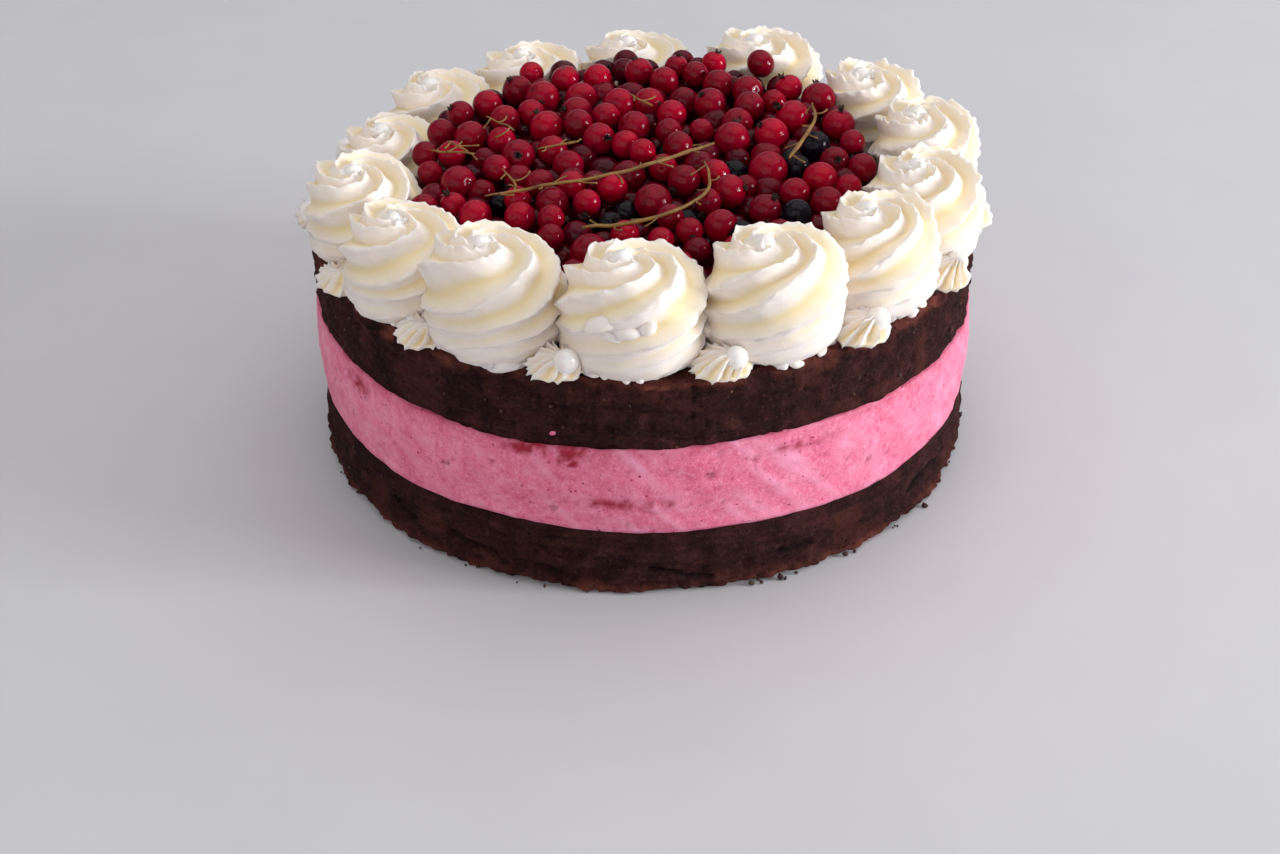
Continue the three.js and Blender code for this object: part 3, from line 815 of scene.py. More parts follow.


# A dome of cream with ridges that wind outwards from its peak. Returns its points, its faces, how deep in a
# groove each point is and how much it faces the peak, the two masks of its painted shade, and how near the
# peak it is.
def pipedDome(size, width, height, start, seed):
    relief = creamRelief
    dice = np.random.default_rng(seed)
    reach, level, turn, depth = smoothRows(size["side"], size["rows"]).T
    reach, level = np.maximum(reach, 0) * width, level * height
    run, rise = np.gradient(reach), np.gradient(level)
    slope = np.hypot(run, rise) + 1e-9
    outward, upward = (rise / slope)[:, None], (-run / slope)[:, None]
    arms = size["arms"]
    arm, within, bent, cut = grooveCut(size)
    share = arm + within
    deep = dice.uniform(1 - size["armSpread"], 1 + size["armSpread"], arms + 1)
    shift = dice.uniform(-size["unevenArms"], size["unevenArms"], arms + 1)
    deep[-1], shift[-1] = deep[0], shift[0]
    strength = deep[arm] * (1 - within) + deep[arm + 1] * within
    offset = shift[arm] * (1 - within) + shift[arm + 1] * within
    angle = (share + offset)[None, :] * 2 * np.pi / arms + np.radians(turn)[:, None] + start
    sink = size["groove"] * depth[:, None] * (cut * strength)[None, :]
    r = reach[:, None] - outward * sink
    z = level[:, None] - upward * sink
    points = np.stack([r * np.cos(angle), r * np.sin(angle), z + 0 * angle], -1).reshape(-1, 3)
    normal = np.stack([outward * np.cos(angle), outward * np.sin(angle), upward + 0 * angle], -1)
    normal = normal.reshape(-1, 3)
    crest = np.tile((1 - np.sin(np.pi * bent)) ** relief["crestSharp"], len(reach))
    inside = np.repeat(np.minimum(1, reach / relief["steadyReach"]), len(share))
    tears = size["ragged"] * (relief["tearsPlain"] + relief["tearsOnCrests"] * crest)
    rough = tears * lumps(points, relief["tearSize"], seed)
    rough = rough + relief["waves"] * lumps(points, relief["waveSize"], seed + 1)
    rough += relief["pits"] * lumps(points, relief["pitSize"], seed + 4)
    # bits torn up round the peak
    spread = np.repeat(np.exp(-(reach / relief["peakReach"]) ** 2), len(share))
    bits = np.maximum(relief["lowestTear"], lumps(points, relief["peakSize"], seed + 2))
    rough += size["torn"] * spread * bits
    swerve = size["wander"] * lumps(points, relief["swerveSize"], seed + 3) * inside
    points += normal * (rough * (relief["atPeak"] + (1 - relief["atPeak"]) * inside))[:, None]
    points[:, :2] += swerve[:, None] * np.stack([-normal[:, 1], normal[:, 0]], -1)
    nearPeak = np.clip(1 - np.repeat(reach, len(share)) / width, 0, 1) ** relief["leanCurve"]
    nearPeak = nearPeak * (points[:, 2] > height * relief["leanFrom"])
    points[:, 2] = np.maximum(points[:, 2], 0)
    # painted shade: yellow in the deepest grooves, warm on the sides of the ridges that face the peak
    deepest = np.clip(depth[:, None], 0, 1)
    grooveShade = (deepest * (cut ** relief["hollowSharp"])[None, :]).reshape(-1)
    facesPeak = np.interp(within, *relief["facesPeak"])
    shaded = (deepest * facesPeak[None, :]).reshape(-1)
    return points, roundFaces(len(reach), len(share)), grooveShade, shaded, nearPeak


# Turns places as seen from above by an angle.
def turned(places, turn):
    cosine, sine = math.cos(turn), math.sin(turn)
    return places @ np.array([[cosine, sine], [-sine, cosine]])


def creamPiece(name, points, faces, grooveShade, shaded, nodeName):
    piece = makePiece(name, points, faces, cream)
    markPoints(piece, "grooveShade", grooveShade)
    markPoints(piece, "shaded", shaded)
    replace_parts(piece, nodeName)


# The swirls towards the right are the most ragged.
def buildSwirls():
    size = swirlShape
    for n, swirl in enumerate(swirls):
        torn = 1 + size["tornRight"] * max(0.0, math.cos(swirl["turn"]))
        own = {**size, "ragged": size["ragged"] * torn}
        points, faces, grooveShade, shaded, nearPeak = pipedDome(
            own, swirl["width"], swirl["height"], swirl["start"], size["seed"] + n)
        points[:, :2] *= (size["depth"], size["broad"])
        points[:, :2] = turned(points[:, :2], swirl["turn"])
        points[:, :2] += nearPeak[:, None] * np.array(size["peak"])
        points += (swirl["x"], swirl["y"], creamFoot)
        number = "%02d" % (n + 1)
        creamPiece("creamSwirl" + number, points, faces, grooveShade, shaded, "swirl_" + number)


buildSwirls()
print("swirls piped")


starShape = {
    "ring": 96.3, "share": 0.54, "width": 8.4, "height": 8.6, "start": 0.7, "bare": (12, 13), "seed": 200,
    "arms": 13, "perArm": 7, "rows": 36, "groove": 1.9, "sharp": 0.75, "valley": 0.5, "armSpread": 0.4,
    "unevenArms": 0.3, "wander": 0.7, "ragged": 0.6, "peak": (3.4, 3.6), "torn": 0.5,
    "softened": 0, "gathered": 0.3,
    "side": [
        (0, 0.03, -6, 0), (0.7, 0, -6, 0), (0.96, 0.04, -4, 0.5), (1.05, 0.15, 0, 0.8), (1.02, 0.34, 6, 1.1),
        (0.87, 0.56, 12, 1.2), (0.64, 0.76, 18, 1.1), (0.42, 0.86, 26, 0.9), (0.2, 0.88, 40, 0.4),
        (0, 0.88, 60, 0)],
}


# The turn and place of each star: a share of the way from one swirl to the next.
def starPlaces():
    places = []
    for n, swirl in enumerate(swirls):
        span = (swirls[(n + 1) % len(swirls)]["turn"] - swirl["turn"]) % (2 * math.pi)
        turn = swirl["turn"] + starShape["share"] * span
        places.append((turn, starShape["ring"] * math.cos(turn), starShape["ring"] * math.sin(turn)))
    return places


def buildStars():
    size = starShape
    for n, (turn, x, y) in enumerate(starPlaces()):
        points, faces, grooveShade, shaded, nearPeak = pipedDome(
            size, size["width"], size["height"], size["start"] * n, size["seed"] + n)
        points[:, :2] += nearPeak[:, None] * np.array(size["peak"])
        points[:, :2] = turned(points[:, :2], turn)
        points += (x, y, creamFoot)
        number = "%02d" % (n + 1)
        creamPiece("creamStar" + number, points, faces, grooveShade, shaded, "star_" + number)


buildStars()
print("stars piped")


# A ball as rows of points round an axis, with a dimple at each end. Returns its rises and turns too.
def ballRows(segments, rings, dimple, dimpleWidth=0.22):
    rise = np.linspace(-math.pi / 2, math.pi / 2, rings)
    turn = np.arange(segments) * 2 * math.pi / segments
    end = np.exp(-((math.pi / 2 - np.abs(rise)) / dimpleWidth) ** 2)
    radius = 1 - dimple * end
    level = (np.sin(rise) * radius)[:, None] + 0 * turn
    reach = np.maximum((np.cos(rise) * radius)[:, None], 1e-4)
    return np.stack([reach * np.cos(turn), reach * np.sin(turn), level], -1).reshape(-1, 3), rise, turn


# Turns +Z towards a direction.
def aimed(direction):
    return np.array(Vector(direction).to_track_quat("Z", "Y").to_matrix())


# The pearls, each beside the peak of its swirl, or out and along from the middle of its star.
sugarPearls = {
    "radius": 3.4, "press": 2.9, "spread": 0.06, "segments": 24, "rings": 15, "seed": 5,
    "onSwirl": (-2.6, 1.6), "onStar": (3.4, 3.6),
}


def pearlSpots():
    size = sugarPearls
    lift = creamFoot - size["radius"]
    aside, level = size["onSwirl"], creamFoot - size["press"]
    spots = [(s["x"] + aside[0], s["y"] + aside[1], level + s["height"]) for s in swirls]
    out, along = size["onStar"]
    for n, (angle, x, y) in enumerate(starPlaces()):
        if n + 1 not in starShape["bare"]:
            spots.append((x + out * math.cos(angle) - along * math.sin(angle),
                          y + out * math.sin(angle) + along * math.cos(angle), lift + starShape["height"]))
    return spots


def buildPearls():
    size = sugarPearls
    dice = np.random.default_rng(size["seed"])
    ball, rise, turn = ballRows(size["segments"], size["rings"], 0)
    points, faces = [], []
    for spot in pearlSpots():
        radius = size["radius"] * (1 + size["spread"] * dice.uniform(-1, 1))
        faces.append(roundFaces(size["rings"], size["segments"], len(points) * len(ball)))
        points.append(ball * radius @ aimed(dice.normal(size=3)).T + np.array(spot))
    makePiece("sugarPearls", np.vstack(points), np.vstack(faces), pearl)


buildPearls()
print("pearls set")


# Uneven lumps as one piece, each given by its middle, its own axes as rows and its half sizes along them.
# Each takes its bulges from another part of the same random values.
def lumpPiece(name, spots, size, material):
    segments, rings = size["segments"], size["rings"]
    ball, rise, turn = ballRows(segments, rings, 0)
    points, faces = [], []
    for n, (middle, axes, halves) in enumerate(spots):
        bulged = ball * (1 + size["uneven"] * lumps(ball * 1.1 + 9 * n, 1.0, 300)[:, None])
        points.append(bulged * halves @ np.array(axes) + middle)
        faces.append(roundFaces(rings, segments, n * len(ball)))
    makePiece(name, np.vstack(points), np.vstack(faces), material)


# The directions round the cake, out of it and up, at a turn.
def axesAt(turn, slant=0.0):
    level, up = np.array([-math.sin(turn), math.cos(turn), 0]), np.array([0, 0, math.sin(slant)])
    around = level * math.cos(slant) + up
    out = np.array([math.cos(turn), math.sin(turn), 0])
    return [around, out, np.cross(around, out)]


# Torn bits of cream: those that stand out in front, those that fill the corners behind the stars, and
# small ones by each pearl and along each foot.
creamBits = {
    # turn in degrees, distance from the middle, height, half sizes along, out and up, slant in degrees
    "laid": [
        (243, 97.4, 71.4, 8.5, 3.6, 2.8, 5), (247.5, 98, 70.4, 5, 3, 2.4, 12),
        (236.4, 97.6, 79, 2.8, 2.6, 5.5, 10), (263.8, 101.2, 88.4, 4.6, 2.4, 2.2, 14),
        (267.4, 101.6, 85.8, 4.2, 2.2, 2.1, -8), (270.4, 101.6, 87.4, 2.8, 2.0, 1.9, 35),
        (265.2, 101.4, 84.8, 3.2, 1.7, 1.6, -20)],
    "perCorner": 5, "cornerReach": (82.5, 87.5), "cornerSpread": 2.4, "cornerHeights": (71.5, 78.0),
    "cornerHalves": (1.9, 3.5), "cornerSlant": 0.7,
    "perPeak": 4, "peakSpread": 3.4, "peakReaches": (0.8, 1.2), "peakSink": (1.6, 2.6),
    "peakShape": (1.4, 0.8, 0.9), "peakSlant": 0.6,
    "perFoot": 5, "footSpread": 70, "footReach": 0.79, "footHeights": (0.3, 1.4),
    "footShape": (1.5, 1.0, 0.8), "footSlant": 0.3,
    "smallest": 0.8, "largest": 1.8, "uneven": 0.4, "segments": 12, "rings": 9, "seed": 15,
}


def laidBits():
    spots = []
    for degrees, reach, z, along, out, up, slant in creamBits["laid"]:
        turn = math.radians(degrees)
        middle = (reach * math.cos(turn), reach * math.sin(turn), z)
        spots.append((middle, axesAt(turn, math.radians(slant)), (along, out, up)))
    return spots


def cornerBits(dice):
    size = creamBits
    spots = []
    for corner, x, y in starPlaces():
        for n in range(size["perCorner"]):
            reach = dice.uniform(*size["cornerReach"])
            turn = corner + dice.uniform(-1, 1) * size["cornerSpread"] / reach
            middle = (reach * math.cos(turn), reach * math.sin(turn), dice.uniform(*size["cornerHeights"]))
            axes = axesAt(turn, dice.uniform(-size["cornerSlant"], size["cornerSlant"]))
            spots.append((middle, axes, dice.uniform(*size["cornerHalves"], 3)))
    return spots


def peakBit(swirl, dice):
    size = creamBits
    besides = sugarPearls["onSwirl"]
    turn = dice.uniform(0, 2 * math.pi)
    reach = size["peakSpread"] * dice.uniform(*size["peakReaches"])
    middle = (swirl["x"] + besides[0] + reach * math.cos(turn),
              swirl["y"] + besides[1] + reach * math.sin(turn),
              creamFoot + swirl["height"] - dice.uniform(*size["peakSink"]))
    halves = dice.uniform(size["smallest"], size["largest"], 3) * size["peakShape"]
    return middle, axesAt(turn, dice.uniform(-size["peakSlant"], size["peakSlant"])), halves


def footBit(swirl, dice):
    size = creamBits
    aside = math.radians(dice.uniform(-1, 1) * size["footSpread"])
    turn = swirl["turn"] + aside
    reach = size["footReach"] * swirl["width"] * np.array(
        (swirlShape["depth"] * math.cos(aside), swirlShape["broad"] * math.sin(aside)))
    cosine, sine = math.cos(swirl["turn"]), math.sin(swirl["turn"])
    middle = (swirl["x"] + reach[0] * cosine - reach[1] * sine,
              swirl["y"] + reach[0] * sine + reach[1] * cosine,
              creamFoot + dice.uniform(*size["footHeights"]))
    halves = dice.uniform(size["smallest"], size["largest"], 3) * size["footShape"]
    return middle, axesAt(turn, dice.uniform(-size["footSlant"], size["footSlant"])), halves


def buildCreamBits():
    size = creamBits
    dice = np.random.default_rng(size["seed"])
    spots = laidBits() + cornerBits(dice)
    for swirl in swirls:
        spots += [peakBit(swirl, dice) for n in range(size["perPeak"])]
        spots += [footBit(swirl, dice) for n in range(size["perFoot"])]
    lumpPiece("creamBits", spots, size, cream)


buildCreamBits()


# Crumbs round the foot of the cake, on the rim of its upper sponge and on that sponge's side, with how
# many there are, how far out from the middle and how high.
looseCrumbs = {
    # a few larger ones: turn in degrees, distance from the middle, height, half size
    "laid": [
        (229, 97.3, 71.0, 1.2), (304.8, 101.2, 0.9, 0.8), (292.3, 101.4, 1.0, 0.9), (293, 102, 0.6, 0.5)],
    "scattered": [
        (46, (99.8, 102.2), (0.6, 0.8)), (60, (96, 98.6), (70.1, 70.5)), (40, (100.0, 100.3), (52, 68.5))],
    "smallest": 0.3, "largest": 0.8, "slant": 0.6, "shapes": (0.7, 1.3),
    "uneven": 0.5, "segments": 7, "rings": 5, "seed": 16,
}
# one fleck of mousse on the upper sponge
mousseFleck = {
    "turn": 255.5, "reach": 99.6, "height": 52.2, "slant": 0.3, "halves": (1.1, 0.5, 0.8),
    "uneven": 0.5, "segments": 12, "rings": 9,
}


def buildCrumbs():
    size = looseCrumbs
    dice = np.random.default_rng(size["seed"])
    rows = [(math.radians(degrees), reach, z, half) for degrees, reach, z, half in size["laid"]]
    for count, reaches, levels in size["scattered"]:
        for n in range(count):
            half = size["smallest"] + (size["largest"] - size["smallest"]) * dice.random() ** 2
            rows.append((2 * math.pi * dice.random(), dice.uniform(*reaches), dice.uniform(*levels), half))
    spots = []
    for turn, reach, z, half in rows:
        axes = axesAt(turn + dice.uniform(-1, 1), dice.uniform(-size["slant"], size["slant"]))
        halves = half * dice.uniform(*size["shapes"], 3)
        spots.append(((reach * math.cos(turn), reach * math.sin(turn), z), axes, halves))
    lumpPiece("looseCrumbs", spots, size, crumb)


def buildFleck():
    size = mousseFleck
    turn = math.radians(size["turn"])
    middle = (size["reach"] * math.cos(turn), size["reach"] * math.sin(turn), size["height"])
    lumpPiece("mousseFleck", [(middle, axesAt(turn, size["slant"]), size["halves"])], size, mousse)


buildCrumbs()
buildFleck()
print("bits of cream and crumbs scattered")


# The heap of fruit, which is domed and leans. The berries that stand out are laid one by one, and the rest
# are dropped between them by a rule, as on the solids.
heap = {
    "berry": 4.75, "spread": 0.18, "radius": 76.0, "rise": 27.0, "sag": 3.5, "lean": 6.0, "leanTurn": 85,
    "seed": 20, "tries": 120, "misses": 30, "proud": 1.0, "press": 1.0, "dropRadius": 60.0, "dropShift": -7.0,
    "creamGap": 0.6, "creamRound": 2.5, "hidden": 21.0,
}

# x, y, width and how far under the surface of the heap
laidBerries = [
    (-37, -4, 10.2, 0), (-29, 13, 10.7, 0), (-13, 4, 9.9, 0), (-7, 26, 10.6, 0), (-26, -31, 9.9, 0),
    (-16, -33, 8, 0), (-35, -38, 9.3, 0), (-15, -55, 11.3, 0), (-19, -62, 8.5, 3), (-5, -49, 8.5, 0),
    (-52, 9, 11, 0), (-48, 29, 9.4, 0), (-42, 18, 9.4, 0), (-56, 23, 8.5, 0), (-61, 12, 9, 0),
    (-65, -1, 8.2, 0), (-57, -2, 8.4, 0), (-54, -17, 11, 0), (-43, -12, 8.2, 0), (-63, -31, 8.4, 0),
    (-48, -35, 10, 0.5), (-31, 33, 11, 0), (-39, 38, 9.8, 0), (-35, 48, 8, 0), (-24, 44, 9.2, 0),
    (-20, 21, 10, 0), (-19, 33, 10.2, 1), (-14, 44, 9, 0), (-1, 48, 9.3, 0), (-5, 1, 8.8, 1), (0, -6, 8, 0),
    (3, -31, 11.2, 0), (2, 26, 10.2, 0), (37, -13, 11.8, 0), (27, 4, 10.8, 0), (39, 7, 10.5, 0),
    (38, 53, 9.2, -1), (55, 32, 11, 0), (60, 15, 10.2, 0), (52, -18, 10.6, 0), (57, -7, 9.2, 1),
    (63, 2, 7.8, 0), (65, -10, 8.8, 1), (60, -22, 7.8, 1), (53, -31, 10, 0), (44, -27, 9.1, 0),
    (35, -36, 9.6, 0), (25, -26, 10.2, 0), (22, -44, 10.1, 0), (13, -48, 7.9, 0), (12, -21, 9.7, 0),
    (46, 19, 10.8, 0), (46, 37, 8.9, 0), (33, 35, 10, 0), (33, 24, 9.6, 0), (29, 15, 9.7, 1),
    (21, 26, 10.3, 0), (17, 45, 8.4, 0), (23, 53, 8.3, 0), (24, 39, 10, 0), (7, 41, 9.2, 0),
    (11, 50, 7.5, 0), (9, 20, 9.6, 1), (8, 8, 8.3, 1), (18, 10, 8, 2), (-63, -9, 8, 2), (-47, -4, 7.5, 2),
    (-30, -18, 9, 2), (-22, -8, 9.7, 2), (-14, -18, 8.2, 3), (-26, -48, 8, 1), (17, -8, 10.3, 3),
    (37, -2, 10, 3), (41, 30, 8.2, 2), (30, -21, 7.7, 3), (15, -54, 8, 2), (5, -51, 7.6, 1), (-47, -20, 8, 3),
]
darkBerries = [
    (52, 2, 9, 1), (46, -11, 8, 2), (44, -38, 9, 0), (27, -11, 9, 4), (-9, -40, 8, 3), (28, -46, 8, 2),
    (-5, -31, 9, 5), (13, -36, 9, 5), (-41, -24, 8, 5),
]


# The same simple dice as the solids use, so that the same berries drop.
class Dice:
    def __init__(self, seed):
        self.state = seed

    def roll(self):
        self.state = self.state * 16807 % 2147483647
        return self.state / 2147483647


def heapTop(x, y):
    reach = np.hypot(x, y) / heap["radius"]
    lean = heap["lean"] * reach * np.cos(np.arctan2(y, x) - math.radians(heap["leanTurn"]))
    return layerShape["spongeTop"] + heap["rise"] - heap["sag"] * reach ** 2 + lean


# How high over the sponge a berry has to stay to clear the swirls.
def creamLift(x, y, radius):
    lift = 0.0
    for swirl in swirls:
        cosine, sine = math.cos(swirl["turn"]), math.sin(swirl["turn"])
        out = (x - swirl["x"]) * cosine + (y - swirl["y"]) * sine
        side = (y - swirl["y"]) * cosine - (x - swirl["x"]) * sine
        apart = math.hypot(out / swirlShape["depth"], side) - radius - heap["creamGap"]
        level = max(0.0, apart) / swirl["width"]
        if level < 1:
            dome = (1 - level ** heap["creamRound"]) ** (1 / heap["creamRound"])
            lift = max(lift, (swirl["height"] + radius) * dome)
    return lift


# Rows of x, y, z, radius, depth under the surface and 1 where dark.
def layBerries():
    rows = []
    for dark, places in enumerate((laidBerries, darkBerries)):
        for x, y, width, sunk in places:
            radius = width / 2
            lowest = layerShape["spongeTop"] + creamLift(x, y, radius) - heap["press"]
            z = max(heapTop(x, y) - radius - sunk, lowest)
            rows.append((x, y, z, radius, heapTop(x, y) - z - radius, dark))
    return np.array(rows)


# Drops one berry after another where it comes to rest lowest, until too many would stand proud of the heap.
def dropBerries(berries):
    dice = Dice(heap["seed"])
    misses = 0
    while misses < heap["misses"]:
        radius = heap["berry"] * (1 + heap["spread"] * (2 * dice.roll() - 1))
        best = None
        for attempt in range(heap["tries"]):
            reach = heap["dropRadius"] * math.sqrt(dice.roll())
            turn = 2 * math.pi * dice.roll()
            x, y = reach * math.cos(turn), reach * math.sin(turn) + heap["dropShift"]
            z = layerShape["spongeTop"] + max(radius, creamLift(x, y, radius))
            room = (radius + berries[:, 3]) ** 2 - (x - berries[:, 0]) ** 2 - (y - berries[:, 1]) ** 2
            near = room > 0
            if near.any():
                z = max(z, (berries[near, 2] + np.sqrt(room[near])).max())
            depth = heapTop(x, y) - z - radius
            if best is None or depth > best[4]:
                best = (x, y, z, radius, depth, 0)
        if best[4] > -heap["proud"]:
            berries = np.vstack([berries, best])
        else:
            misses += 1
    return berries


# Berries under the others, wherever there is still room, so that no gap shows the core: first in the
# middle, then round the edge. Some are dark, to the right of darkFrom and in front of darkTo.
gapBerries = {
    "seed": 3, "middleTries": 12000, "edgeTries": 5000, "edgeFrom": 48.0, "edgeTo": 66.0,
    "sizes": (0.85, 1.1), "middleDepths": (2, 13), "edgeDepths": (3, 12), "closeness": 0.8,
    "darkShare": 0.3, "darkFrom": -20, "darkTo": 15,
}


def fillGaps(berries):
    size = gapBerries
    dice = np.random.default_rng(size["seed"])
    for attempt in range(size["middleTries"] + size["edgeTries"]):
        radius = heap["berry"] * dice.uniform(*size["sizes"])
        if attempt < size["middleTries"]:
            reach = heap["dropRadius"] * math.sqrt(dice.random())
            shift, depths = heap["dropShift"], size["middleDepths"]
        else:
            reach = size["edgeTo"] * dice.uniform(size["edgeFrom"] / size["edgeTo"], 1.0)
            shift, depths = 0.0, size["edgeDepths"]
        turn = 2 * math.pi * dice.random()
        x, y = reach * math.cos(turn), reach * math.sin(turn) + shift
        depth = dice.uniform(*depths)
        z = heapTop(x, y) - radius - depth
        apart = np.sqrt(((berries[:, :3] - (x, y, z)) ** 2).sum(1))
        space = apart - size["closeness"] * (berries[:, 3] + radius)
        if space.min() > 0 and z > layerShape["spongeTop"] + creamLift(x, y, radius) - heap["press"]:
            dark = dice.random() < size["darkShare"] and x > size["darkFrom"] and y < size["darkTo"]
            berries = np.vstack([berries, (x, y, z, radius, depth, dark)])
    return berries


laid = layBerries()
dropped = dropBerries(laid)
berries = fillGaps(dropped)
print("berries:", len(laid), "laid,", len(dropped), "with those dropped,", len(berries), "in all")


# Each berry is a dimpled ball, finer near the top of the heap. Those deeper under the surface are darker, as
# painted shade, on top of their own random ripeness.
berryShape = {
    "fine": (28, 19), "plain": (15, 9), "fineTo": 6, "dimple": 0.1, "squash": (0.93, 1.02),
    "leastRipe": 0.35, "shadeFromDepth": 0.5, "shadeFadeDepth": 4, "veins": 10, "veinSharp": 10, "veinFade": 1.5,
    "veinShare": 0.25, "tipWidth": 0.17, "lean": (0, 1.0, -0.2), "seed": 7,
    # towards the viewer in front, and up as seen from there
    "towards": (0, -0.88, 0.47), "above": (0, 0.47, 0.88),
}

# The dried flowers that show in front, by the place of their berry: how far to the right and up from its
# middle the flower stands as seen from the front, as shares of the berry's radius.
flowersSeen = {
    (-37, -4): (0.05, 0), (-13, 4): (0.5, 0), (-56, 23): (-0.7, 0.45), (-31, 33): (-0.6, 0.5),
    (-39, 38): (-0.5, 0.7), (-24, 44): (-0.2, 0.9), (-20, 21): (-0.75, 0.2), (60, 15): (0.1, 0.9),
    (29, 15): (0.1, 0.3), (21, 26): (-0.55, 0.6), (46, 37): (-0.5, 0.8), (57, -7): (0.1, 0.1),
    (53, -31): (-0.6, 0.6), (35, -36): (0.5, 0.7), (22, -44): (0.6, -0.4), (38, 53): (0.75, 0.6),
    (23, 53): (0.3, 0.9), (11, 50): (0.2, 0.95), (-1, 48): (-0.3, 0.9), (17, 45): (0.6, -0.1),
}


# Which way the dried flower of a berry points.
def flowerAim(x, y, dice):
    size = berryShape
    aim = dice.normal(size=3) + size["lean"]
    if (x, y) in flowersSeen:
        right, up = flowersSeen[(x, y)]
        towards = math.sqrt(1 - right ** 2 - up ** 2)
        aim = towards * np.array(size["towards"]) + (right, up * size["above"][1], up * size["above"][2])
    return aim / np.linalg.norm(aim)


def joinBerries(kind, rows, material):
    points, faces, first = [], [], 0
    for placed, rings, segments, vein, tip, ripeAndUnshaded in rows:
        points.append(placed)
        faces.append(roundFaces(rings, segments, first))
        first += len(placed)
    piece = makePiece(kind + "Currants", np.vstack(points), np.vstack(faces), material)
    for label, column in (("vein", 3), ("tip", 4), ("ripeAndUnshaded", 5)):
        markPoints(piece, label, np.concatenate([row[column] for row in rows]))
    print(kind, "currants:", len(rows), "faces:", len(piece.data.polygons))
    return piece


# Makes the berries and returns each one's middle, radius, depth and the way its flower points.
def buildBerries():
    size = berryShape
    dice = np.random.default_rng(size["seed"])
    fine, plain = ballRows(*size["fine"], size["dimple"]), ballRows(*size["plain"], size["dimple"])
    red, dark, made = [], [], []
    for x, y, z, radius, depth, isDark in berries:
        if depth > heap["hidden"]:
            continue
        ball, rise, turn = fine if depth < size["fineTo"] else plain
        aim = flowerAim(x, y, dice)
        # painted shade: a berry deeper under the heap's surface than a set depth fades towards the dark
        # unripe colour
        outOfShade = max(0.0, 1 - max(0.0, depth - size["shadeFromDepth"]) / size["shadeFadeDepth"])
        ripeAndUnshaded = (size["leastRipe"] + (1 - size["leastRipe"]) * dice.random()) * outOfShade
        squash = dice.uniform(*size["squash"])
        placed = (ball * (1, 1, squash) * radius) @ aimed(aim).T + (x, y, z)
        veins = (0.5 + 0.5 * np.cos(size["veins"] * turn)) ** size["veinSharp"]
        fade = np.cos(rise) ** size["veinFade"]
        vein = (fade[:, None] * veins[None, :] * size["veinShare"]).reshape(-1)
        tip = np.repeat(np.exp(-((math.pi / 2 - rise) / size["tipWidth"]) ** 2), len(turn))
        kind = dark if isDark else red
        kind.append((placed, len(rise), len(turn), vein, tip, np.full(len(placed), ripeAndUnshaded)))
        made.append((np.array((x, y, z)), radius, depth, aim))
    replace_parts(joinBerries("red", red, redFruit), "redcurrants")
    joinBerries("dark", dark, darkFruit)
    return made


shownBerries = buildBerries()


# The dried flower that is left at the end of a berry: a small dark cup with crooked sepals.
flower = {
    "sepals": 5, "length": 1.9, "lengths": (0.6, 1.3), "width": 1.1, "thick": 0.12, "narrowest": 0.06,
    "foot": 0.35, "cup": 0.75, "openings": (0.1, 0.9), "curl": 0.35, "taper": 0.6, "crooked": 0.08,
    "turnSpread": 0.3, "sink": 0.88, "deepest": 6, "share": 0.75, "rows": 5, "sides": 4, "seed": 12,
}


# One sepal as rows of four corners, from the foot to the tip.
def sepalRows(turn, length, opened):
    size = flower
    across = np.array([-math.sin(turn), math.cos(turn), 0])
    outward = np.array([math.cos(turn), math.sin(turn), 0])
    rows = []
    for share in np.linspace(0, 1, size["rows"]):
        reach = size["foot"] + size["cup"] * share * (0.5 + opened)
        rise = length * share * (1 - size["curl"] * opened * share)
        half = size["width"] * 0.5 * (1 - share) ** size["taper"] + size["narrowest"]
        middle = np.array([reach * math.cos(turn), reach * math.sin(turn), rise])
        thick = outward * size["thick"]
        rows.append([middle - across * half, middle - thick, middle + across * half, middle + thick])
    return np.array(rows).reshape(-1, 3)


def buildFlowers():
    size = flower
    dice = np.random.default_rng(size["seed"])
    corners = size["rows"] * size["sides"]
    points, faces = [], []
    for place, radius, depth, aim in shownBerries:
        if depth > size["deepest"] or dice.random() > size["share"]:
            continue
        foot = place + aim * radius * size["sink"]
        length = size["length"] * dice.uniform(*size["lengths"])
        for n in range(size["sepals"] + 1):
            uneven = dice.uniform(-size["turnSpread"], size["turnSpread"])
            turn = 2 * math.pi * (n + uneven) / size["sepals"]
            sepal = sepalRows(turn, length, dice.uniform(*size["openings"]))
            sepal = sepal + dice.normal(size=(corners, 3)) * size["crooked"]
            faces.append(roundFaces(size["rows"], size["sides"], corners * len(points)))
            points.append(sepal @ aimed(aim).T + foot)
    makePiece("driedFlowers", np.vstack(points), np.vstack(faces), calyxBrown)
    print("dried flowers:", len(points))


buildFlowers()


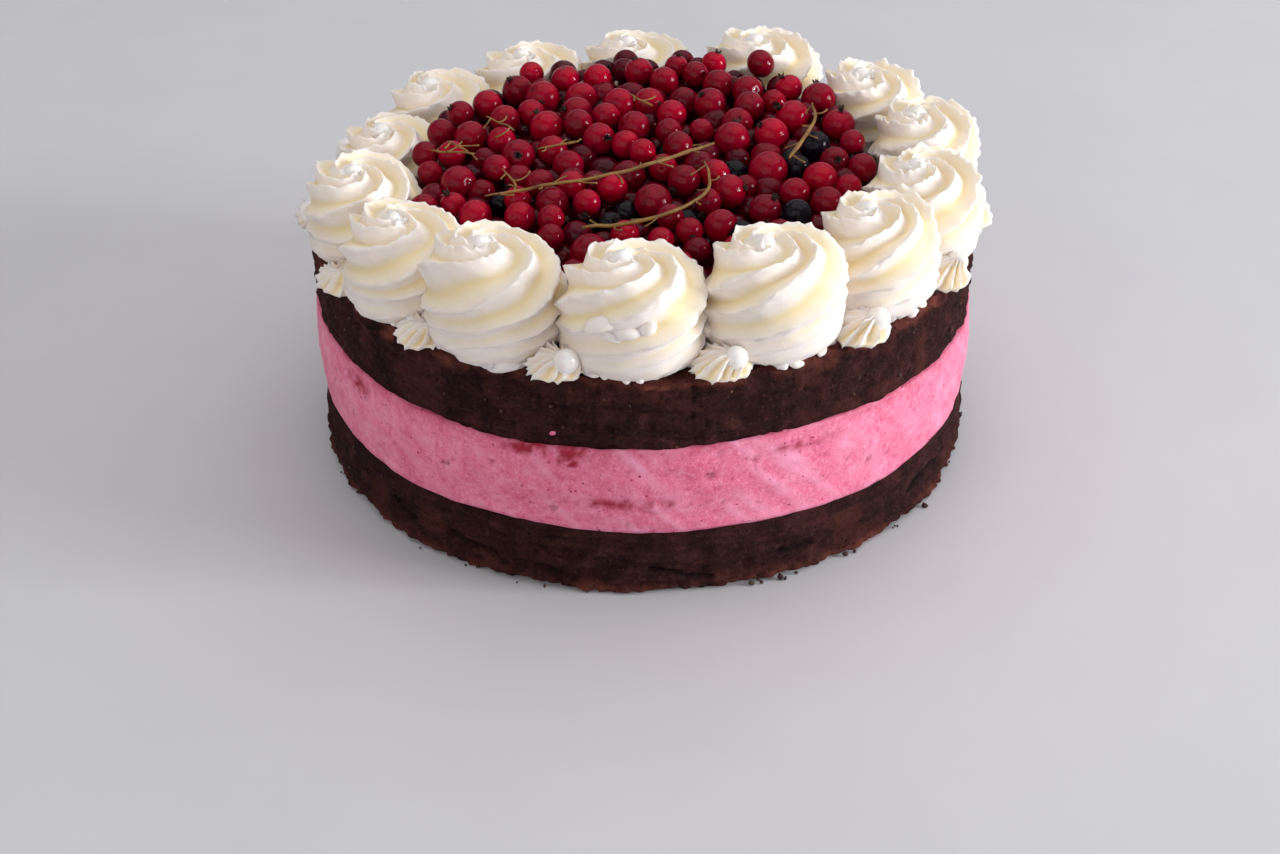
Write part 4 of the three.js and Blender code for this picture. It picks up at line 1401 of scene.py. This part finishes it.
# The stalks that lie on the heap, as places seen from above, and how thick they are.
stalks = {
    "lines": [
        [(-45, -34), (-22, -29), (-1, -22), (21, -9)],
        [(18, -19), (19, -33), (10, -44), (-3, -50), (-17, -52)],
        [(52, 18), (51, 4), (43, -16)],
        [(-63, -7), (-49, -10)],
        [(-58, -2), (-51, -9)],
        [(-47, 12), (-38, 2)],
        [(-31, -10), (-19, -7)],
        [(-4, 22), (3, 14)],
        [(-41, -20), (-36, -30)],
    ],
    "thick": 0.56, "thin": 0.27, "longFrom": 20, "shortScale": 1.2, "lift": 0.3,
    "step": 1.0, "fewest": 8, "sides": 7, "seed": 4,
    # how a stalk's radius starts and grows along it, and how it tapers at both ends
    "radiusFrom": 0.75, "radiusGrowth": 0.35, "taper": 0.45, "taperSharp": 8,
    # how far a stalk waves to the side, back and up, and how much its knots swell
    "wave": (0.6, -0.4, 0.7), "waveSize": 5, "knots": 0.25, "knotSize": 2.5,
    "spurStep": 6.0, "spurPlaces": (0.2, 0.8),
    "spurLength": 5.5, "spurLengths": (0.6, 1.3), "spurStart": (0.5, 1.0),
    "spurCurl": (-1.2, 2.4), "spurRise": (-0.35, 0.25), "spurRiseCurve": 1.6,
    # radius along a spur, as shares of thin: swollen where it joins and where the berry hung
    "spurRadii": (1.5, 1.1, 0.95, 0.9, 0.85, 0.8, 0.8, 0.85, 1.0, 1.2), "endRadius": 0.01,
}


# A round rod along places, with a radius for each.
def rodRows(places, radii, sides):
    places = np.asarray(places)
    along = np.gradient(places, axis=0)
    along /= np.linalg.norm(along, axis=1)[:, None] + 1e-9
    across = np.stack([-along[:, 1], along[:, 0], 0 * along[:, 0]], 1)
    across /= np.linalg.norm(across, axis=1)[:, None] + 1e-9
    up = np.cross(along, across)
    turn = np.arange(sides) * 2 * math.pi / sides
    ring = across[:, None] * np.cos(turn)[:, None] + up[:, None] * np.sin(turn)[:, None]
    return (places[:, None] + ring * np.asarray(radii)[:, None, None]).reshape(-1, 3)


# A stalk's own rod: waving over the heap, with knots, thicker towards its end and tapered at both ends.
def stalkRod(line):
    size = stalks
    length = math.dist(line[0], line[-1])
    x, y = smoothRows(line, max(size["fewest"], int(length / size["step"]))).T
    wave = lumps(np.stack([x, y, 0 * x], 1), size["waveSize"], 91)
    aside, back, up = size["wave"]
    places = np.stack([x + aside * wave, y + back * wave, heapTop(x, y) + size["lift"] + up * wave], 1)
    share = np.linspace(0, 1, len(places))
    radius = size["thick"] if length > size["longFrom"] else size["thin"] * size["shortScale"]
    knots = 1 + size["knots"] * np.maximum(0, lumps(places, size["knotSize"], 92))
    growth = size["radiusFrom"] + size["radiusGrowth"] * share
    taper = 1 - size["taper"] * np.abs(2 * share - 1) ** size["taperSharp"]
    return places, radius * growth * knots * taper, length


# A short curled spur, to the left or right of a stalk, where a berry hung.
def spurRod(places, at, side, dice):
    size = stalks
    heading = places[min(at + 1, len(places) - 1)] - places[max(at - 1, 0)]
    heading /= np.linalg.norm(heading)
    sideways = np.array([-heading[1], heading[0], 0]) * side
    length = size["spurLength"] * dice.uniform(*size["spurLengths"])
    t = np.linspace(0, 1, len(size["spurRadii"]))
    curl = dice.uniform(*size["spurStart"]) + dice.uniform(*size["spurCurl"]) * t
    steps = heading * np.cos(curl)[:, None] + sideways * np.sin(curl)[:, None]
    bend = np.cumsum(steps, axis=0) * length / len(t) - steps[0] * length / len(t)
    rise = dice.uniform(*size["spurRise"]) * length * t ** size["spurRiseCurve"]
    lift = np.array([0, 0, 1]) * rise[:, None]
    return places[at] + bend + lift, size["thin"] * np.array(size["spurRadii"])


def buildStalks():
    size = stalks
    dice = np.random.default_rng(size["seed"])
    rods = []
    for line in size["lines"]:
        places, radii, length = stalkRod(line)
        rods.append((places, radii))
        spurs = int(length / size["spurStep"]) + 1
        for n in range(spurs):
            at = int((n + dice.uniform(*size["spurPlaces"])) / spurs * (len(places) - 1))
            rods.append(spurRod(places, at, 1 if n % 2 else -1, dice))
    points, faces, first = [], [], 0
    for places, radii in rods:
        ends = [places[0], *places, places[-1]]
        points.append(rodRows(ends, [size["endRadius"], *radii, size["endRadius"]], size["sides"]))
        faces.append(roundFaces(len(ends), size["sides"], first))
        first += len(points[-1])
    makePiece("driedStalks", np.vstack(points), np.vstack(faces), stalkGreen)


buildStalks()
print("stalks laid")


# The dark core under the berries, a sheet of painted shade that shows in the gaps between them, a little
# lumpy.
heapCore = {
    "radius": 62.0, "depth": 15.0, "columns": 96, "rings": 14, "relief": (1.2, 6, 81), "reliefAbove": 71,
}


def buildCore():
    size = heapCore
    turn = np.arange(size["columns"]) * 2 * math.pi / size["columns"]
    foot = np.stack([size["radius"] * np.cos(turn), size["radius"] * np.sin(turn), creamFoot + 0 * turn], -1)
    rows = [foot]
    for share in np.linspace(1, 0.001, size["rings"]):
        x, y = size["radius"] * share * np.cos(turn), size["radius"] * share * np.sin(turn)
        rows.append(np.stack([x, y, heapTop(x, y) - size["depth"]], -1))
    points = np.vstack(rows)
    points[:, 2] += lumpsOf(points, size["relief"]) * (points[:, 2] > size["reliefAbove"])
    makePiece("heapCore", points, roundFaces(len(rows), size["columns"]), heapShade)


buildCore()
print("core built")


# Each light's turn from +X and rise in degrees, and its distance and size in metres.
lights = {
    "key": {"turn": -14, "rise": 16, "far": 1.5, "size": 0.55, "power": 14, "colour": (0.93, 0.965, 1.0)},
    "glint": {"turn": -8, "rise": 8, "far": 1.5, "size": 0.14, "power": 7, "colour": (1.0, 0.99, 0.98)},
    "above": {"turn": 60, "rise": 72, "far": 2.2, "size": 3.4, "power": 35, "colour": (1.0, 0.98, 0.97)},
    "left": {"turn": 205, "rise": 30, "far": 2.2, "size": 2.4, "power": 6, "colour": (1.0, 0.97, 0.94)},
    "front": {"turn": -105, "rise": 22, "far": 2.6, "size": 2.6, "power": 16, "colour": (1.0, 0.97, 0.94)},
}
room = {"aim": (0, 0, 0.05), "ambient": 0.27, "sky": (0.97, 0.97, 1.0)}


def lightRoom():
    aim = Vector(room["aim"])
    for name, size in lights.items():
        lamp = bpy.data.objects.new(name, bpy.data.lights.new(name, "AREA"))
        bpy.context.scene.collection.objects.link(lamp)
        lamp.data.size = size["size"]
        lamp.data.energy = size["power"]
        lamp.data.color = size["colour"]
        turn, rise = math.radians(size["turn"]), math.radians(size["rise"])
        away = Vector((math.cos(turn) * math.cos(rise), math.sin(turn) * math.cos(rise), math.sin(rise)))
        lamp.location = aim + away * size["far"]
        lamp.rotation_euler = (-away).to_track_quat("-Z", "Y").to_euler()
    world = bpy.data.worlds.new("room")
    bpy.context.scene.world = world
    world.use_nodes = True
    sky = world.node_tree.nodes["Background"]
    sky.inputs["Color"].default_value = room["sky"] + (1,)
    sky.inputs["Strength"].default_value = room["ambient"]
    bpy.context.scene.view_settings.view_transform = "Standard"


# The floor in metres: flat under the cake, then curving up into the wall behind.
paleFloor = {
    "shader": {"Roughness": 0.6}, "grain": (3.0, 60.0, 0.5), "relief": 0.05,
    "base": [(0.3, tint(201, 201, 205)), (0.7, tint(204, 204, 208))],
    "front": -3.0, "side": 3.0, "wallTop": 3.0, "bendFrom": 0.9, "bend": 0.8, "bendSteps": 14,
}


def layFloor():
    size = paleFloor
    far, bend = size["bendFrom"], size["bend"]
    profile = [(size["front"], 0.0), (far, 0.0)]
    for angle in np.linspace(0.1, math.pi / 2, size["bendSteps"]):
        profile.append((far + bend * math.sin(angle), bend - bend * math.cos(angle)))
    profile.append((far + bend, size["wallTop"]))
    points = [(x, y, z) for y, z in profile for x in (-size["side"], size["side"])]
    faces = [(2 * n, 2 * n + 1, 2 * n + 3, 2 * n + 2) for n in range(len(profile) - 1)]
    mesh = bpy.data.meshes.new("floor")
    mesh.from_pydata(points, [], faces)
    mesh.polygons.foreach_set("use_smooth", [True] * len(mesh.polygons))
    mesh.materials.append(plainFinish("paleFloor", size))
    floor = bpy.data.objects.new("floor", mesh)
    bpy.context.scene.collection.objects.link(floor)


lightRoom()
layFloor()
print("room lit")
